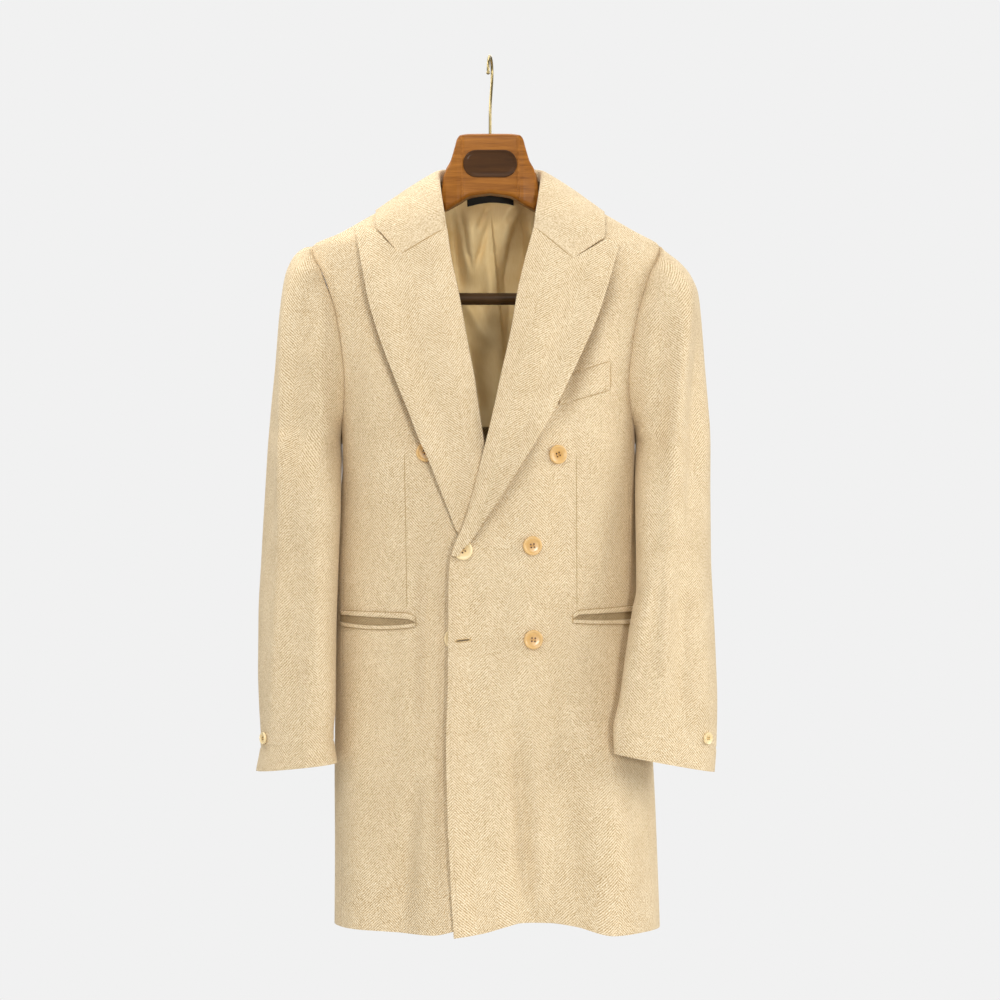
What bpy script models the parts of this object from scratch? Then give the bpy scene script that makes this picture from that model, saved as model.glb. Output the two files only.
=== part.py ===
"""A double-breasted herringbone overcoat hanging on a wooden hanger with a brass hook.

Metres, +Z up, the coat faces -Y. The origin is the point of the hook that bears on a rail.
Left and right are the wearer's, so the coat's left side is at +X. The left front laps over.
"""

import math
from collections import namedtuple

import bmesh
import bpy
import numpy as np
from mathutils import Matrix

CLOTH = 0.0020
LAPEL_CLOTH = 0.0022
LINING_CLOTH = 0.0010
SEAM = 0.0004
LAY = 0.0006

SHOULDER_Z = -0.239
UNDERARM_Z = -0.487
HEM_Z = -1.095
UNDERARM_TURN = math.radians(92.0)
FRONT_SEAM = math.radians(68.5)
BACK_SEAM = math.radians(110.0)
SEAM_TURN = 0.0022
SIDE_TOP_Z = -0.405

FRONT_COLUMNS = 11
BACK_COLUMNS = 16
SLEEVE_COLUMNS = 15

BUTTON_RADIUS = 0.012
CUFF_BUTTON_RADIUS = 0.0075
BUTTON_THICK = 0.0036
BUTTON_LAY = 0.0003
SHANK_RADIUS = 0.0024
SHANK_HEIGHT = 0.0012

HOOK_WIRE = 0.0018
HOOK_BEND = 0.020
HOOK_TURN = math.radians(83.0)
STEM_FOOT_Z = -0.0978

BAR_RADIUS = 0.0075
BAR_Z = -0.3056
BAR_HALF = 0.1700
YOKE_HALF_DEPTH = 0.019

# Horizontal sections of the coat's outer form. Above the shoulder point they end on the shoulder seam.
BodySection = namedtuple("BodySection", "z half_width front back squareness centre")
BODY = (
    BodySection(-0.150, 0.062, 0.020, 0.050, 2.2, 0.000),
    BodySection(-0.1685, 0.093, 0.032, 0.060, 2.2, 0.000),
    BodySection(-0.196, 0.142, 0.047, 0.070, 2.2, -0.001),
    BodySection(-0.2227, 0.1885, 0.059, 0.078, 2.3, -0.0015),
    BodySection(-0.239, 0.219, 0.066, 0.083, 2.4, -0.005),
    BodySection(-0.260, 0.223, 0.072, 0.086, 2.5, -0.005),
    BodySection(-0.320, 0.213, 0.087, 0.091, 2.6, -0.004),
    BodySection(-0.370, 0.203, 0.096, 0.092, 2.7, -0.004),
    BodySection(-0.430, 0.190, 0.102, 0.091, 2.7, -0.004),
    BodySection(-0.487, 0.185, 0.104, 0.088, 2.6, -0.002),
    BodySection(-0.520, 0.185, 0.103, 0.086, 2.6, -0.0018),
    BodySection(-0.560, 0.1875, 0.101, 0.083, 2.5, -0.002),
    BodySection(-0.630, 0.190, 0.097, 0.081, 2.5, -0.004),
    BodySection(-0.700, 0.1915, 0.097, 0.084, 2.5, -0.004),
    BodySection(-0.800, 0.197, 0.099, 0.090, 2.5, 0.0015),
    BodySection(-0.900, 0.2015, 0.101, 0.094, 2.5, 0.005),
    BodySection(-1.000, 0.2035, 0.103, 0.097, 2.5, 0.0075),
    BodySection(-1.095, 0.2055, 0.105, 0.100, 2.5, 0.009),
)

# The armhole seam on front and back, by its distance from the section's centre.
ArmholeRow = namedtuple("ArmholeRow", "z front back")
ARMHOLE = (
    ArmholeRow(-0.239, 0.2190, 0.2190),
    ArmholeRow(-0.248, 0.2185, 0.2185),
    ArmholeRow(-0.260, 0.2145, 0.2150),
    ArmholeRow(-0.273, 0.2065, 0.2085),
    ArmholeRow(-0.295, 0.1985, 0.2020),
    ArmholeRow(-0.320, 0.1905, 0.1960),
    ArmholeRow(-0.370, 0.1815, 0.1875),
    ArmholeRow(-0.410, 0.1785, 0.1830),
    ArmholeRow(-0.445, 0.1798, 0.1812),
    ArmholeRow(-0.470, 0.1842, 0.1842),
)
BODY_ROWS = (-0.160, -0.170, -0.182, -0.196, -0.2095, -0.2227, -0.231)
ARMHOLE_ROWS = (
    -0.239, -0.2435, -0.250, -0.260, -0.275, -0.300, -0.335, -0.370, -0.410, -0.445, -0.470, -0.481,
)
SKIRT_ROWS = (
    -0.487, -0.515, -0.552, -0.590, -0.628, -0.666, -0.706, -0.748, -0.792,
    -0.838, -0.885, -0.932, -0.978, -1.020, -1.060, -1.095,
)

# Soft upright folds of the skirt. Each starts at z_top and is fully out at the hem.
Fold = namedtuple("Fold", "face x_top x_hem z_top width height")
FOLDS = (
    Fold("front", -0.085, -0.072, -0.72, 0.030, 0.012),
    Fold("front", -0.115, -0.112, -0.70, 0.026, -0.007),
    Fold("front", -0.040, -0.038, -0.78, 0.030, 0.010),
    Fold("front", 0.050, 0.060, -0.70, 0.034, -0.016),
    Fold("front", 0.130, 0.150, -0.74, 0.032, 0.013),
    Fold("front", -0.165, -0.165, -0.62, 0.022, 0.005),
    Fold("back", -0.110, -0.120, -0.60, 0.036, 0.012),
    Fold("back", -0.040, -0.045, -0.66, 0.032, -0.010),
    Fold("back", 0.045, 0.040, -0.64, 0.036, 0.011),
    Fold("back", 0.120, 0.125, -0.60, 0.034, -0.009),
)

# How far the hem hangs above (+) or below (-) its level line.
HemRow = namedtuple("HemRow", "x rise")
HEM_OVER = (
    HemRow(-0.060, -0.0050),
    HemRow(-0.010, 0.0010),
    HemRow(0.020, 0.0085),
    HemRow(0.040, 0.0125),
    HemRow(0.074, 0.0120),
    HemRow(0.105, 0.0080),
    HemRow(0.150, -0.0040),
    HemRow(0.210, -0.0030),
)
HEM_UNDER = (
    HemRow(-0.200, 0.0020),
    HemRow(-0.150, 0.0010),
    HemRow(-0.100, -0.0010),
    HemRow(-0.070, -0.0010),
    HemRow(-0.035, 0.0060),
    HemRow(0.010, 0.0120),
    HemRow(0.060, 0.0180),
)

# The inner edge of each front: the roll line of its lapel, then the front edge.
EdgeRow = namedtuple("EdgeRow", "z x")
OVER_EDGE = (
    EdgeRow(-0.150, 0.0672),
    EdgeRow(-0.184, 0.0648),
    EdgeRow(-0.220, 0.0571),
    EdgeRow(-0.260, 0.0465),
    EdgeRow(-0.300, 0.0372),
    EdgeRow(-0.345, 0.0297),
    EdgeRow(-0.413, 0.0147),
    EdgeRow(-0.450, 0.0070),
    EdgeRow(-0.503, -0.0062),
    EdgeRow(-0.568, -0.0244),
    EdgeRow(-0.596, -0.0343),
    EdgeRow(-0.616, -0.0430),
    EdgeRow(-0.641, -0.0491),
    EdgeRow(-0.670, -0.0503),
    EdgeRow(-0.782, -0.0508),
    EdgeRow(-0.856, -0.0528),
    EdgeRow(-0.940, -0.0508),
    EdgeRow(-1.025, -0.0466),
    EdgeRow(-1.095, -0.0423),
)
UNDER_EDGE = (
    EdgeRow(-0.150, -0.0668),
    EdgeRow(-0.184, -0.0645),
    EdgeRow(-0.220, -0.0565),
    EdgeRow(-0.255, -0.0515),
    EdgeRow(-0.302, -0.0415),
    EdgeRow(-0.357, -0.0315),
    EdgeRow(-0.409, -0.0216),
    EdgeRow(-0.450, -0.0155),
    EdgeRow(-0.486, -0.0097),
    EdgeRow(-0.530, -0.0020),
    EdgeRow(-0.580, 0.0085),
    EdgeRow(-0.620, 0.0210),
    EdgeRow(-0.660, 0.0380),
    EdgeRow(-0.710, 0.0450),
    EdgeRow(-1.095, 0.0480),
)

# How far the over front is lifted where it lies on the under front and its lapel.
LiftRow = namedtuple("LiftRow", "z lift")
LIFT = (
    LiftRow(-0.300, 0.0),
    LiftRow(-0.400, 0.0050),
    LiftRow(-0.480, 0.0115),
    LiftRow(-0.530, 0.0125),
    LiftRow(-0.620, 0.0125),
    LiftRow(-0.680, 0.0095),
    LiftRow(-0.760, 0.0085),
    LiftRow(-0.900, 0.0065),
    LiftRow(-1.095, 0.0060),
)
LIFT_FULL_X = 0.052
LIFT_NONE_X = 0.105

# Outer edges of the lapels from the peak down to the break, and the corners of their top edges.
LapelEdge = namedtuple("LapelEdge", "x z")
LEFT_LAPEL_EDGE = (
    LapelEdge(0.1624, -0.2386),
    LapelEdge(0.1553, -0.2625),
    LapelEdge(0.1451, -0.2975),
    LapelEdge(0.1327, -0.3345),
    LapelEdge(0.1151, -0.3746),
    LapelEdge(0.0989, -0.4089),
    LapelEdge(0.0784, -0.4502),
    LapelEdge(0.0564, -0.4873),
    LapelEdge(0.0369, -0.5188),
    LapelEdge(0.0150, -0.5538),
    LapelEdge(-0.0060, -0.5846),
    LapelEdge(-0.0220, -0.6090),
    LapelEdge(-0.0365, -0.6240),
)
RIGHT_LAPEL_EDGE = (
    LapelEdge(-0.1690, -0.2171),
    LapelEdge(-0.1649, -0.2396),
    LapelEdge(-0.1584, -0.2727),
    LapelEdge(-0.1518, -0.3075),
    LapelEdge(-0.1429, -0.3395),
    LapelEdge(-0.1291, -0.3796),
    LapelEdge(-0.1147, -0.4162),
    LapelEdge(-0.0997, -0.4527),
    LapelEdge(-0.0874, -0.4848),
    LapelEdge(-0.0750, -0.5119),
    LapelEdge(-0.0614, -0.5465),
    LapelEdge(-0.0498, -0.5760),
    LapelEdge(-0.0390, -0.6015),
    LapelEdge(-0.0190, -0.6230),
)
LapelTop = namedtuple("LapelTop", "across x z")
LEFT_LAPEL_TOP = (
    LapelTop(0.00, 0.0572, -0.2206),
    LapelTop(0.45, 0.1036, -0.2597),
    LapelTop(0.82, 0.1440, -0.2345),
    LapelTop(1.00, 0.1624, -0.2386),
)
RIGHT_LAPEL_TOP = (
    LapelTop(0.00, -0.0572, -0.2212),
    LapelTop(0.45, -0.1120, -0.2546),
    LapelTop(0.82, -0.1440, -0.2222),
    LapelTop(1.00, -0.1690, -0.2171),
)
LAPEL_ACROSS = (0.0, 0.07, 0.20, 0.33, 0.45, 0.63, 0.82, 1.0)
LAPEL_DOWN = (0.0, 0.04, 0.09, 0.15, 0.22, 0.31, 0.41, 0.51, 0.61, 0.71, 0.81, 0.91, 1.0)
LAPEL_TAIL_OUT = 0.0086
LEFT_BREAK_Z = -0.6230
RIGHT_BREAK_Z = -0.6160
LapelRise = namedtuple("LapelRise", "across out")
LAPEL_RISE = (
    LapelRise(0.00, 0.0034),
    LapelRise(0.07, 0.0066),
    LapelRise(0.20, 0.0086),
    LapelRise(0.60, 0.0080),
    LapelRise(1.00, 0.0084),
)

# The collar by stations from its right front end round the back to its left front end.
# Each gives the crest of the fold, the outer edge, the crown between them, the dip of the gorge
# and the height of the stand inside.
Station = namedtuple("Station", "fold edge crown dip stand")
COLLAR = (
    Station((-0.0574, -0.0655, -0.2198), (-0.1425, -0.0500, -0.2200), 0.0060, 0.0330, 0.006),
    Station((-0.0622, -0.0535, -0.1950), (-0.1435, -0.0400, -0.2060), 0.0060, 0.0150, 0.010),
    Station((-0.0665, -0.0330, -0.1680), (-0.1440, -0.0230, -0.1982), 0.0045, 0.0040, 0.010),
    Station((-0.0685, -0.0060, -0.1470), (-0.1430, 0.0000, -0.1922), 0.0020, 0.0000, 0.012),
    Station((-0.0630, 0.0230, -0.1400), (-0.1290, 0.0460, -0.1890), 0.0030, 0.0000, 0.016),
    Station((-0.0390, 0.0450, -0.1365), (-0.0800, 0.0760, -0.1930), 0.0030, 0.0000, 0.019),
    Station((0.0000, 0.0530, -0.1355), (0.0000, 0.0850, -0.1950), 0.0030, 0.0000, 0.020),
    Station((0.0390, 0.0450, -0.1365), (0.0800, 0.0760, -0.1940), 0.0030, 0.0000, 0.019),
    Station((0.0630, 0.0230, -0.1400), (0.1290, 0.0460, -0.1900), 0.0030, 0.0000, 0.016),
    Station((0.0685, -0.0060, -0.1470), (0.1430, 0.0000, -0.1940), 0.0020, 0.0000, 0.012),
    Station((0.0665, -0.0330, -0.1680), (0.1440, -0.0310, -0.2018), 0.0045, 0.0040, 0.010),
    Station((0.0622, -0.0535, -0.1950), (0.1438, -0.0465, -0.2150), 0.0060, 0.0150, 0.010),
    Station((0.0574, -0.0655, -0.2190), (0.1428, -0.0585, -0.2318), 0.0060, 0.0330, 0.006),
)
COLLAR_STEPS = 26
COLLAR_ACROSS = (0.05, 0.18, 0.34, 0.50, 0.62, 0.80, 1.0)
GORGE_ACROSS = 0.56
FOLD_ROLL = 0.0032
DIP_FORWARD = 0.45

# Sections of the sleeves by distance from the middle plane. Above the underarm a section is open
# towards the body and its ends lie on the armhole seam.
SleeveSection = namedtuple("SleeveSection", "z inner outer centre_y half_depth lean opening")
RIGHT_SLEEVE = (
    SleeveSection(-0.239, 0.2215, 0.2300, -0.001, 0.006, 0.0, 125),
    SleeveSection(-0.2435, 0.2207, 0.2385, -0.001, 0.018, 0.0, 129),
    SleeveSection(-0.250, 0.2196, 0.2460, -0.001, 0.028, 0.0, 136),
    SleeveSection(-0.260, 0.2151, 0.2525, -0.001, 0.040, 0.0, 138),
    SleeveSection(-0.275, 0.2033, 0.2585, -0.002, 0.052, 0.0, 136),
    SleeveSection(-0.300, 0.1916, 0.2630, -0.003, 0.061, 0.0, 134),
    SleeveSection(-0.335, 0.1759, 0.2670, -0.003, 0.067, 0.0, 130),
    SleeveSection(-0.390, 0.1655, 0.2712, -0.004, 0.070, 0.0, 129),
    SleeveSection(-0.445, 0.1700, 0.2768, -0.002, 0.070, 0.0, 140),
    SleeveSection(-0.470, 0.1770, 0.2790, -0.001, 0.0685, 0.0, 153),
    SleeveSection(-0.487, 0.1877, 0.2802, 0.001, 0.074, 0.0, 180),
    SleeveSection(-0.510, 0.1880, 0.2817, -0.009, 0.073, 0.12, 180),
    SleeveSection(-0.560, 0.1892, 0.2850, -0.022, 0.066, 0.44, 180),
    SleeveSection(-0.635, 0.1914, 0.2889, -0.028, 0.059, 0.44, 180),
    SleeveSection(-0.705, 0.1938, 0.2918, -0.036, 0.055, 0.42, 180),
    SleeveSection(-0.770, 0.1943, 0.2918, -0.043, 0.051, 0.40, 180),
    SleeveSection(-0.820, 0.1940, 0.2898, -0.048, 0.047, 0.38, 180),
    SleeveSection(-0.860, 0.1945, 0.2875, -0.051, 0.044, 0.36, 180),
    SleeveSection(-0.899, 0.1900, 0.2935, -0.053, 0.042, 0.35, 180),
)
LEFT_SLEEVE = (
    SleeveSection(-0.239, 0.2135, 0.2160, -0.001, 0.006, 0.0, 125),
    SleeveSection(-0.2435, 0.2127, 0.2190, -0.001, 0.018, 0.0, 129),
    SleeveSection(-0.250, 0.2110, 0.2265, -0.001, 0.028, 0.0, 136),
    SleeveSection(-0.260, 0.2054, 0.2395, -0.001, 0.040, 0.0, 138),
    SleeveSection(-0.275, 0.1926, 0.2525, -0.002, 0.052, 0.0, 136),
    SleeveSection(-0.300, 0.1811, 0.2630, -0.003, 0.061, 0.0, 134),
    SleeveSection(-0.335, 0.1663, 0.2670, -0.003, 0.067, 0.0, 130),
    SleeveSection(-0.390, 0.1558, 0.2712, -0.004, 0.070, 0.0, 129),
    SleeveSection(-0.445, 0.1617, 0.2757, -0.003, 0.070, 0.0, 140),
    SleeveSection(-0.470, 0.1702, 0.2777, -0.002, 0.0685, 0.0, 153),
    SleeveSection(-0.487, 0.1837, 0.2782, -0.001, 0.0740, 0.0, 180),
    SleeveSection(-0.510, 0.1842, 0.2782, -0.0100, 0.0730, 0.12, 180),
    SleeveSection(-0.560, 0.1842, 0.2782, -0.0255, 0.0660, 0.44, 180),
    SleeveSection(-0.635, 0.1838, 0.2780, -0.0430, 0.0555, 0.45, 180),
    SleeveSection(-0.670, 0.1818, 0.2790, -0.0520, 0.0515, 0.44, 180),
    SleeveSection(-0.695, 0.1768, 0.2800, -0.0600, 0.0475, 0.43, 180),
    SleeveSection(-0.745, 0.1683, 0.2818, -0.0715, 0.0410, 0.41, 180),
    SleeveSection(-0.810, 0.1595, 0.2838, -0.0780, 0.0345, 0.40, 180),
    SleeveSection(-0.867, 0.1518, 0.2828, -0.0815, 0.0285, 0.42, 180),
    SleeveSection(-0.899, 0.1528, 0.2805, -0.0825, 0.0270, 0.42, 180),
)
SLEEVE_ROUND = 2.2
SLEEVE_PIN = 0.36
UNDERARM_PIN = 0.08
PIN_Z = -0.400
SLEEVE_ROWS = (
    -0.487, -0.505, -0.540, -0.585, -0.630, -0.675, -0.720, -0.765, -0.810, -0.850, -0.880, -0.899,
)
RIGHT_CUFF_SLANT = 0.0125
LEFT_CUFF_SLANT = 0.0270
CUFF_RAMP_Z = -0.78

# Front buttons by their place in the front view; over tells which front they sit on.
Button = namedtuple("Button", "name x z over")
BUTTONS = (
    Button("button_left_top", 0.0829, -0.5038, True),
    Button("button_left_middle", 0.0520, -0.6162, True),
    Button("button_left_low", 0.0532, -0.7322, True),
    Button("button_right_top", -0.0791, -0.5013, False),
    Button("button_fastened", -0.0330, -0.6220, True),
    Button("button_right_low", -0.0442, -0.7316, False),
)
RIGHT_CUFF_BUTTON_X = -0.2800
LEFT_CUFF_BUTTON_X = 0.2687
CUFF_BUTTON_Z = -0.8575

# Strips that lie on the fronts, by the two ends of their upper and lower edges.
Strip = namedtuple("Strip", "name over inner_x inner_top inner_low outer_x outer_top outer_low thick")
STRIPS = (
    Strip("breast_welt", True, 0.0860, -0.4085, -0.4425, 0.1497, -0.3878, -0.4231, 0.0020),
    Strip("right_pocket_upper", False, -0.0920, -0.7050, -0.7098, -0.1880, -0.6995, -0.7036, 0.0014),
    Strip("right_pocket_lower", False, -0.0920, -0.7106, -0.7158, -0.1880, -0.7132, -0.7206, 0.0014),
    Strip("left_pocket_upper", True, 0.1028, -0.7003, -0.7056, 0.1820, -0.6949, -0.6994, 0.0014),
    Strip("left_pocket_lower", True, 0.1028, -0.7064, -0.7114, 0.1820, -0.7087, -0.7156, 0.0014),
)
STRIP_STEPS = 8
STRIP_LAY = 0.0010

# The lining and label of the upper back, inside.
LINING_HALF = 0.150
LINING_TOP_Z = -0.163
LINING_ROWS = (LINING_TOP_Z, -0.170, -0.178, -0.187, -0.200, -0.225, -0.260, -0.310, -0.365, -0.420, -0.468)
LINING_PLEAT = 0.010
LABEL_HALF = 0.031
LABEL_TOP_Z = -0.166
LABEL_LOW_Z = -0.184

# Upright sections of the wooden yoke on each side of the middle. A top of None follows the shoulder.
YokeSection = namedtuple("YokeSection", "x top low half_depth corner")
YOKE = (
    YokeSection(0.0000, -0.0978, -0.1734, 0.0190, 0.0060),
    YokeSection(0.0250, -0.0980, -0.1772, 0.0190, 0.0060),
    YokeSection(0.0370, -0.0995, -0.1840, 0.0190, 0.0060),
    YokeSection(0.0415, -0.1040, -0.1866, 0.0190, 0.0060),
    YokeSection(0.0445, -0.1140, -0.1885, 0.0188, 0.0070),
    YokeSection(0.0500, -0.1320, -0.1915, 0.0185, 0.0070),
    YokeSection(0.0555, -0.1420, -0.1945, 0.0182, 0.0070),
    YokeSection(0.0595, -0.1520, -0.1965, 0.0180, 0.0175),
    YokeSection(0.0620, -0.1680, -0.1980, 0.0180, 0.0175),
    YokeSection(0.0800, None, -0.2080, 0.0170, 0.0165),
    YokeSection(0.1100, None, -0.2270, 0.0170, 0.0165),
    YokeSection(0.1400, None, -0.2480, 0.0180, 0.0175),
    YokeSection(0.1695, None, -0.2720, 0.0200, 0.0194),
    YokeSection(0.1702, None, -0.3190, 0.0200, 0.0194),
    YokeSection(0.1900, None, -0.3180, 0.0210, 0.0204),
    YokeSection(0.2010, -0.2380, -0.3080, 0.0180, 0.0175),
    YokeSection(0.2050, -0.2500, -0.2960, 0.0120, 0.0116),
)
PLAQUE_HALF = 0.034
PLAQUE_TOP_Z = -0.1190
PLAQUE_LOW_Z = -0.1535
PLAQUE_THICK = 0.0012

WOOL = (0.77, 0.62, 0.40)
SATIN = (0.50, 0.36, 0.17)
LABEL_BLACK = (0.012, 0.012, 0.010)
HORN = (0.72, 0.50, 0.22)
WOOD = (0.45, 0.22, 0.08)
DARK_WOOD = (0.075, 0.035, 0.012)
BRASS = (0.62, 0.52, 0.32)


def track(rows, column, key="z"):
    """A smooth curve through one column of a table, which never swings past its rows."""
    places = np.array([getattr(row, key) for row in rows], dtype=float)
    values = np.array([getattr(row, column) for row in rows], dtype=float)
    order = np.argsort(places)
    places = places[order]
    values = values[order]
    steps = np.diff(places)
    slopes = np.diff(values) / steps
    tangents = np.empty(len(places))
    tangents[0] = slopes[0]
    tangents[-1] = slopes[-1]
    for i in range(1, len(slopes)):
        before, after = slopes[i - 1], slopes[i]
        tangents[i] = 2.0 * before * after / (before + after) if before * after > 0.0 else 0.0

    def value(at):
        at = min(max(at, places[0]), places[-1])
        i = min(max(int(np.searchsorted(places, at)) - 1, 0), len(steps) - 1)
        t = (at - places[i]) / steps[i]
        left = (1.0 + 2.0 * t) * (1.0 - t) ** 2 * values[i] + t * (1.0 - t) ** 2 * steps[i] * tangents[i]
        right = t * t * (3.0 - 2.0 * t) * values[i + 1] + t * t * (t - 1.0) * steps[i] * tangents[i + 1]
        return float(left + right)

    return value


def ease(start, end, at):
    t = min(max((at - start) / (end - start), 0.0), 1.0)
    return t * t * (3.0 - 2.0 * t)


def signed_power(value, power):
    return math.copysign(abs(value) ** power, value)


half_width = track(BODY, "half_width")
front_depth = track(BODY, "front")
back_depth = track(BODY, "back")
squareness = track(BODY, "squareness")
centre = track(BODY, "centre")
armhole_front = track(ARMHOLE, "front")
armhole_back = track(ARMHOLE, "back")
over_edge = track(OVER_EDGE, "x")
under_edge = track(UNDER_EDGE, "x")
lift_at = track(LIFT, "lift")
hem_over = track(HEM_OVER, "rise", "x")
hem_under = track(HEM_UNDER, "rise", "x")
lapel_rise = track(LAPEL_RISE, "out", "across")


def depth_at(y, z):
    return front_depth(z) if y < 0.0 else back_depth(z)


def level(x, y, z):
    """Zero on the coat's form, growing outwards."""
    n = squareness(z)
    return abs((x - centre(z)) / half_width(z)) ** n + abs(y / depth_at(y, z)) ** n - 1.0


def outward(x, y, z):
    """The unit vector that points out of the coat's form."""
    n = squareness(z)
    a = half_width(z)
    b = depth_at(y, z)
    u = (x - centre(z)) / a
    v = y / b
    step = 0.002
    slope = (level(x, y, z + step) - level(x, y, z - step)) / (2.0 * step)
    normal = np.array([
        n * math.copysign(abs(u) ** (n - 1.0), u) / a,
        n * math.copysign(abs(v) ** (n - 1.0), v) / b,
        slope,
    ])
    return normal / np.linalg.norm(normal)


def fold_height(face, x, z):
    total = 0.0
    for fold in FOLDS:
        if fold.face == face:
            along = ease(fold.z_top, HEM_Z, z)
            middle = fold.x_top + (fold.x_hem - fold.x_top) * along
            total += fold.height * along * math.exp(-(((x - middle) / fold.width) ** 2))
    return total


def section_point(turn, z):
    """A point of the section at z. A turn of 0 is the front, of a right angle the wearer's left side."""
    power = 2.0 / squareness(z)
    x = centre(z) + half_width(z) * signed_power(math.sin(turn), power)
    side = math.cos(turn)
    depth = front_depth(z) if side > 0.0 else back_depth(z)
    return np.array([x, -depth * signed_power(side, power), z])


def skin(turn, z, out=0.0, rise=0.0):
    """A point of the coat, moved out along its normal by its folds and by out."""
    point = section_point(turn, z)
    normal = outward(*point)
    face = "front" if point[1] < 0.0 else "back"
    fade = ease(0.0, 0.035, abs(point[1]))
    moved = point + normal * (fold_height(face, point[0], z) * fade + out)
    moved[2] += rise
    return moved


def front_turn(x, z):
    u = min(max((x - centre(z)) / half_width(z), -1.0), 1.0)
    return math.asin(signed_power(u, squareness(z) / 2.0))


def over_lift(x, z):
    return lift_at(z) * (1.0 - ease(LIFT_FULL_X, LIFT_NONE_X, x))


def on_front(x, z, out, over):
    """The point of a front that is seen at x and z from the front, moved out."""
    if over:
        out = out + over_lift(x, z)
    u, w = x, z
    point = skin(front_turn(u, w), w, out)
    for _ in range(4):
        u += x - point[0]
        w += z - point[2]
        point = skin(front_turn(u, w), w, out)
    return point


def facing(x, z, over):
    """The unit vector out of a front at x and z, with its lift."""
    reach = BUTTON_RADIUS * 0.7
    across = on_front(x + reach, z, 0.0, over) - on_front(x - reach, z, 0.0, over)
    up = on_front(x, z + reach, 0.0, over) - on_front(x, z - reach, 0.0, over)
    normal = np.cross(across, up)
    return normal / np.linalg.norm(normal)


def armhole_turns(z):
    """The turns at which the armhole seam crosses the section at z, in front and behind."""
    low = ARMHOLE[-1].z
    front = front_turn(centre(z) + armhole_front(z), max(z, low))
    back = math.pi - front_turn(centre(z) + armhole_back(z), max(z, low))
    closed = ease(low, UNDERARM_Z, z)
    front += (UNDERARM_TURN - SEAM_TURN - front) * closed
    back += (UNDERARM_TURN + SEAM_TURN - back) * closed
    return front, back


def front_end(z):
    """The turn at which a front ends: shoulder seam, armhole or seam to the side panel."""
    if z >= SHOULDER_Z - 1e-9:
        return math.pi / 2.0 - SEAM_TURN
    front = armhole_turns(z)[0]
    return front if z > SIDE_TOP_Z else min(front, FRONT_SEAM - SEAM_TURN)


def back_end(z):
    """The same for the back, as the turn from the front."""
    if z >= SHOULDER_Z - 1e-9:
        return math.pi / 2.0 + SEAM_TURN
    back = armhole_turns(z)[1]
    return back if z > SIDE_TOP_Z else max(back, BACK_SEAM + SEAM_TURN)


def side_top(turn):
    """Height of the armhole seam over the side panel at that turn."""
    low, high = UNDERARM_Z, SIDE_TOP_Z
    for _ in range(40):
        middle = (low + high) / 2.0
        front, back = armhole_turns(middle)
        if front < turn < back:
            high = middle
        else:
            low = middle
    return (low + high) / 2.0


def even_turns(z, start, end, count):
    """Turns that cut the section from start to end in equal lengths."""
    fine = np.linspace(start, end, 90)
    points = np.array([section_point(turn, z) for turn in fine])
    lengths = np.concatenate([[0.0], np.cumsum(np.linalg.norm(np.diff(points, axis=0), axis=1))])
    return np.interp(np.linspace(0.0, lengths[-1], count), lengths, fine)


def hem_rise(track_of_rise, x, z):
    return track_of_rise(x) * ease(-0.93, HEM_Z, z)


def back_rise(x, z):
    left = hem_over(0.21)
    right = hem_under(-0.20)
    return (right + (left - right) * (x + 0.20) / 0.41) * ease(-0.93, HEM_Z, z)


def material(name, colour, roughness, metallic=0.0):
    made = bpy.data.materials.new(name)
    made.use_nodes = True
    shader = made.node_tree.nodes["Principled BSDF"]
    shader.inputs["Base Color"].default_value = (*colour, 1.0)
    shader.inputs["Roughness"].default_value = roughness
    shader.inputs["Metallic"].default_value = metallic
    return made


def add_object(name, mesh, surface, collection):
    mesh.materials.append(surface)
    made = bpy.data.objects.new(name, mesh)
    collection.objects.link(made)
    return made


def wall_solid(name, outer, inner, surface, collection):
    """A cloth wall between two grids of points, closed along its four edges."""
    rows = len(outer)
    columns = len(outer[0])
    bm = bmesh.new()
    front = [[bm.verts.new(point) for point in row] for row in outer]
    rear = [[bm.verts.new(point) for point in row] for row in inner]
    for i in range(rows - 1):
        for j in range(columns - 1):
            bm.faces.new((front[i][j], front[i + 1][j], front[i + 1][j + 1], front[i][j + 1]))
            bm.faces.new((rear[i][j], rear[i][j + 1], rear[i + 1][j + 1], rear[i + 1][j]))
    for i in range(rows - 1):
        bm.faces.new((front[i][0], rear[i][0], rear[i + 1][0], front[i + 1][0]))
        bm.faces.new((front[i][-1], front[i + 1][-1], rear[i + 1][-1], rear[i][-1]))
    for j in range(columns - 1):
        bm.faces.new((front[0][j], front[0][j + 1], rear[0][j + 1], rear[0][j]))
        bm.faces.new((front[-1][j], rear[-1][j], rear[-1][j + 1], front[-1][j + 1]))
    bmesh.ops.recalc_face_normals(bm, faces=bm.faces)
    mesh = bpy.data.meshes.new(name)
    bm.to_mesh(mesh)
    bm.free()
    return add_object(name, mesh, surface, collection)


def shell(name, grid, thickness, surface, collection):
    """An open sheet of points thickened inwards; points that coincide are welded."""
    bm = bmesh.new()
    verts = [[bm.verts.new(point) for point in row] for row in grid]
    for i in range(len(grid) - 1):
        for j in range(len(grid[0]) - 1):
            bm.faces.new((verts[i][j], verts[i + 1][j], verts[i + 1][j + 1], verts[i][j + 1]))
    bmesh.ops.remove_doubles(bm, verts=bm.verts, dist=1e-5)
    bmesh.ops.dissolve_degenerate(bm, edges=bm.edges, dist=1e-6)
    mesh = bpy.data.meshes.new(name)
    bm.to_mesh(mesh)
    bm.free()
    made = add_object(name, mesh, surface, collection)
    thicken = made.modifiers.new("Solidify", "SOLIDIFY")
    thicken.thickness = thickness
    thicken.offset = -1.0
    thicken.use_even_offset = False
    return made


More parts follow.
